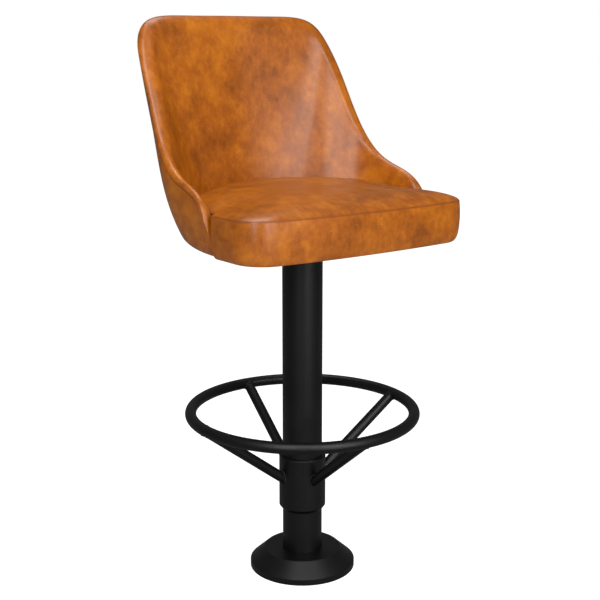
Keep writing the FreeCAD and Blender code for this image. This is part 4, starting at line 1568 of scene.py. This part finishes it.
@dataclass
class DustCoverStaples:
    """Staples round the edge of the lining cloth under the seat."""

    margin: float = 0.009
    pitch: float = 0.032
    staple: Triple = (0.011, 0.0013, 0.0009)
    spread: float = 0.04
    sides: int = 8
    measured_lift: float = 0.0003
    outside: float = 0.4
    side_reach: float = 0.39
    measured_turns: int = 360

    def edge(self) -> Points:
        """Line inside the lining's edge by the margin, on its underside.

        Returns:
            The line's points in order.
        """
        cloth = bpy.data.objects["dust_cover"].data
        low = read_points(cloth)[:, 2].min()
        faces = [list(face.vertices) for face in cloth.polygons]
        tree = BVHTree.FromPolygons(read_points(cloth).tolist(), faces)
        places = []
        for angle in np.linspace(0, math.tau, self.measured_turns, endpoint=False):
            ray = Vector((math.cos(angle), math.sin(angle), 0))
            start = Vector((0, 0, low + self.measured_lift)) + ray * self.outside
            hit = tree.ray_cast(start, -ray, self.side_reach)[0]
            if hit is not None:
                inner = hit - ray * self.margin
                places.append((inner.x, inner.y, low))
        return np.array(places)

    def build(self) -> None:
        """Make and place the staples."""
        staples = RepeatAlongPath("dust_cover_staples", self.pitch, self.staple, ZINC,
                                  self.spread, self.sides).build([self.edge()])
        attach(staples, "seat")


@dataclass
class Metalwork:
    """Column, base, footrest and swivel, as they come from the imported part."""

    def dress(self, frame: dict[str, Any]) -> None:
        """Give every shown node its finish.
        """
        slots = {row["node"]: row["material_slot"] for row in frame["record"]["subparts"]}
        for name, node in frame["nodes"].items():
            key = slots[name].upper()
            # The foam has no finish of its own, because the padded pieces stand for it.
            finish = Slot[key].value if key in Slot.__members__ else LEATHER
            node.data.materials.clear()
            node.data.materials.append(finish.material())
        LOG.info("%d nodes dressed", len(frame["nodes"]))


@dataclass(frozen=True)
class SoftBox:
    """A soft box: its place, its width and height, its watts and the point that it faces."""

    name: str
    place: Triple
    sides: tuple[float, float]
    power: float
    target: Triple = (0.0, 0.0, 0.8)

    def hang(self) -> None:
        """Put the lamp into the scene."""
        data = bpy.data.lights.new(self.name, "AREA")
        data.shape = "RECTANGLE"
        data.size, data.size_y = self.sides
        data.energy = self.power
        lamp = bpy.data.objects.new(self.name, data)
        lamp.location = self.place
        facing = Vector(self.target) - Vector(self.place)
        lamp.rotation_euler = facing.to_track_quat("-Z", "Y").to_euler()
        bpy.context.scene.collection.objects.link(lamp)


@dataclass
class Studio:
    """Camera, lamps, floor and world."""

    camera_place: Triple = (-1.2727, -1.7199, 1.0153)
    camera_azimuth: float = -36.5
    camera_pitch: float = 12.718
    camera_yaw: float = 0.12
    lens: float = 70.0
    sensor: float = 36.0
    floor_size: float = 14.0
    floor_drop: float = 0.0004
    ambient: float = 0.28
    dim_room: float = 0.03
    lamps: tuple[SoftBox, ...] = (
        SoftBox("key_lamp", (-0.48, -2.42, 1.80), (0.38, 3.2), 34.0),
        SoftBox("second_lamp", (0.36, -2.45, 1.85), (0.34, 3.2), 29.0),
        SoftBox("side_lamp", (-2.12, -1.60, 1.80), (0.50, 2.3), 32.0),
        SoftBox("high_left_lamp", (-1.44, -1.09, 3.35), (0.45, 1.0), 22.0),
        SoftBox("top_lamp", (0.2, 0.6, 2.9), (1.2, 1.2), 19.0))

    def camera(self) -> None:
        """Place the camera as the photograph's."""
        data = bpy.data.cameras.new("camera")
        data.lens = self.lens
        data.sensor_width = self.sensor
        camera = bpy.data.objects.new("camera", data)
        camera.location = self.camera_place
        camera.rotation_euler = Euler((math.radians(90 - self.camera_pitch), 0,
                                       math.radians(self.camera_azimuth + self.camera_yaw)))
        bpy.context.scene.collection.objects.link(camera)
        bpy.context.scene.camera = camera

    def floor(self) -> None:
        """Lay the floor."""
        half = self.floor_size / 2
        corners = np.array([(-half, -half, 0), (half, -half, 0), (half, half, 0), (-half, half, 0)])
        corners[:, 2] -= self.floor_drop
        floor = make_piece("studio_floor", corners, [[0, 1, 2, 3]], WhiteSweep())

    def world(self) -> None:
        """Light the room evenly, and show the camera plain white."""
        world = bpy.data.worlds.new("studio")
        bpy.context.scene.world = world
        world.use_nodes = True
        tree = world.node_tree
        tree.nodes.clear()
        mirrored = add(tree, "ShaderNodeLightPath").outputs["Is Glossy Ray"]
        strength = add(tree, "ShaderNodeMix", {
            FACTOR: mirrored, NUMBER_A: self.ambient, NUMBER_B: self.dim_room})
        room = add(tree, "ShaderNodeBackground", {
            "Color": WHITE, "Strength": strength.outputs[NUMBER_OUT]})
        white = add(tree, "ShaderNodeBackground", {"Color": WHITE, "Strength": 1.0})
        mixed = add(tree, "ShaderNodeMixShader", {
            0: shows_white(tree), 1: room.outputs[0], 2: white.outputs[0]})
        add(tree, "ShaderNodeOutputWorld", {"Surface": mixed.outputs[0]})

    def build(self) -> None:
        """Set up the whole studio."""
        self.camera()
        self.floor()
        self.world()
        for lamp in self.lamps:
            lamp.hang()
        bpy.context.scene.view_settings.view_transform = "Standard"


def main() -> None:
    """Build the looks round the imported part."""
    logging.basicConfig(level=logging.INFO, format="%(message)s")
    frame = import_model()
    Studio().build()
    Metalwork().dress(frame)
    SeatCushion().build()
    BucketBack().build()
    FootrestWelds().build()
    DustCoverStaples().build()


if __name__ == "__main__":
    main()
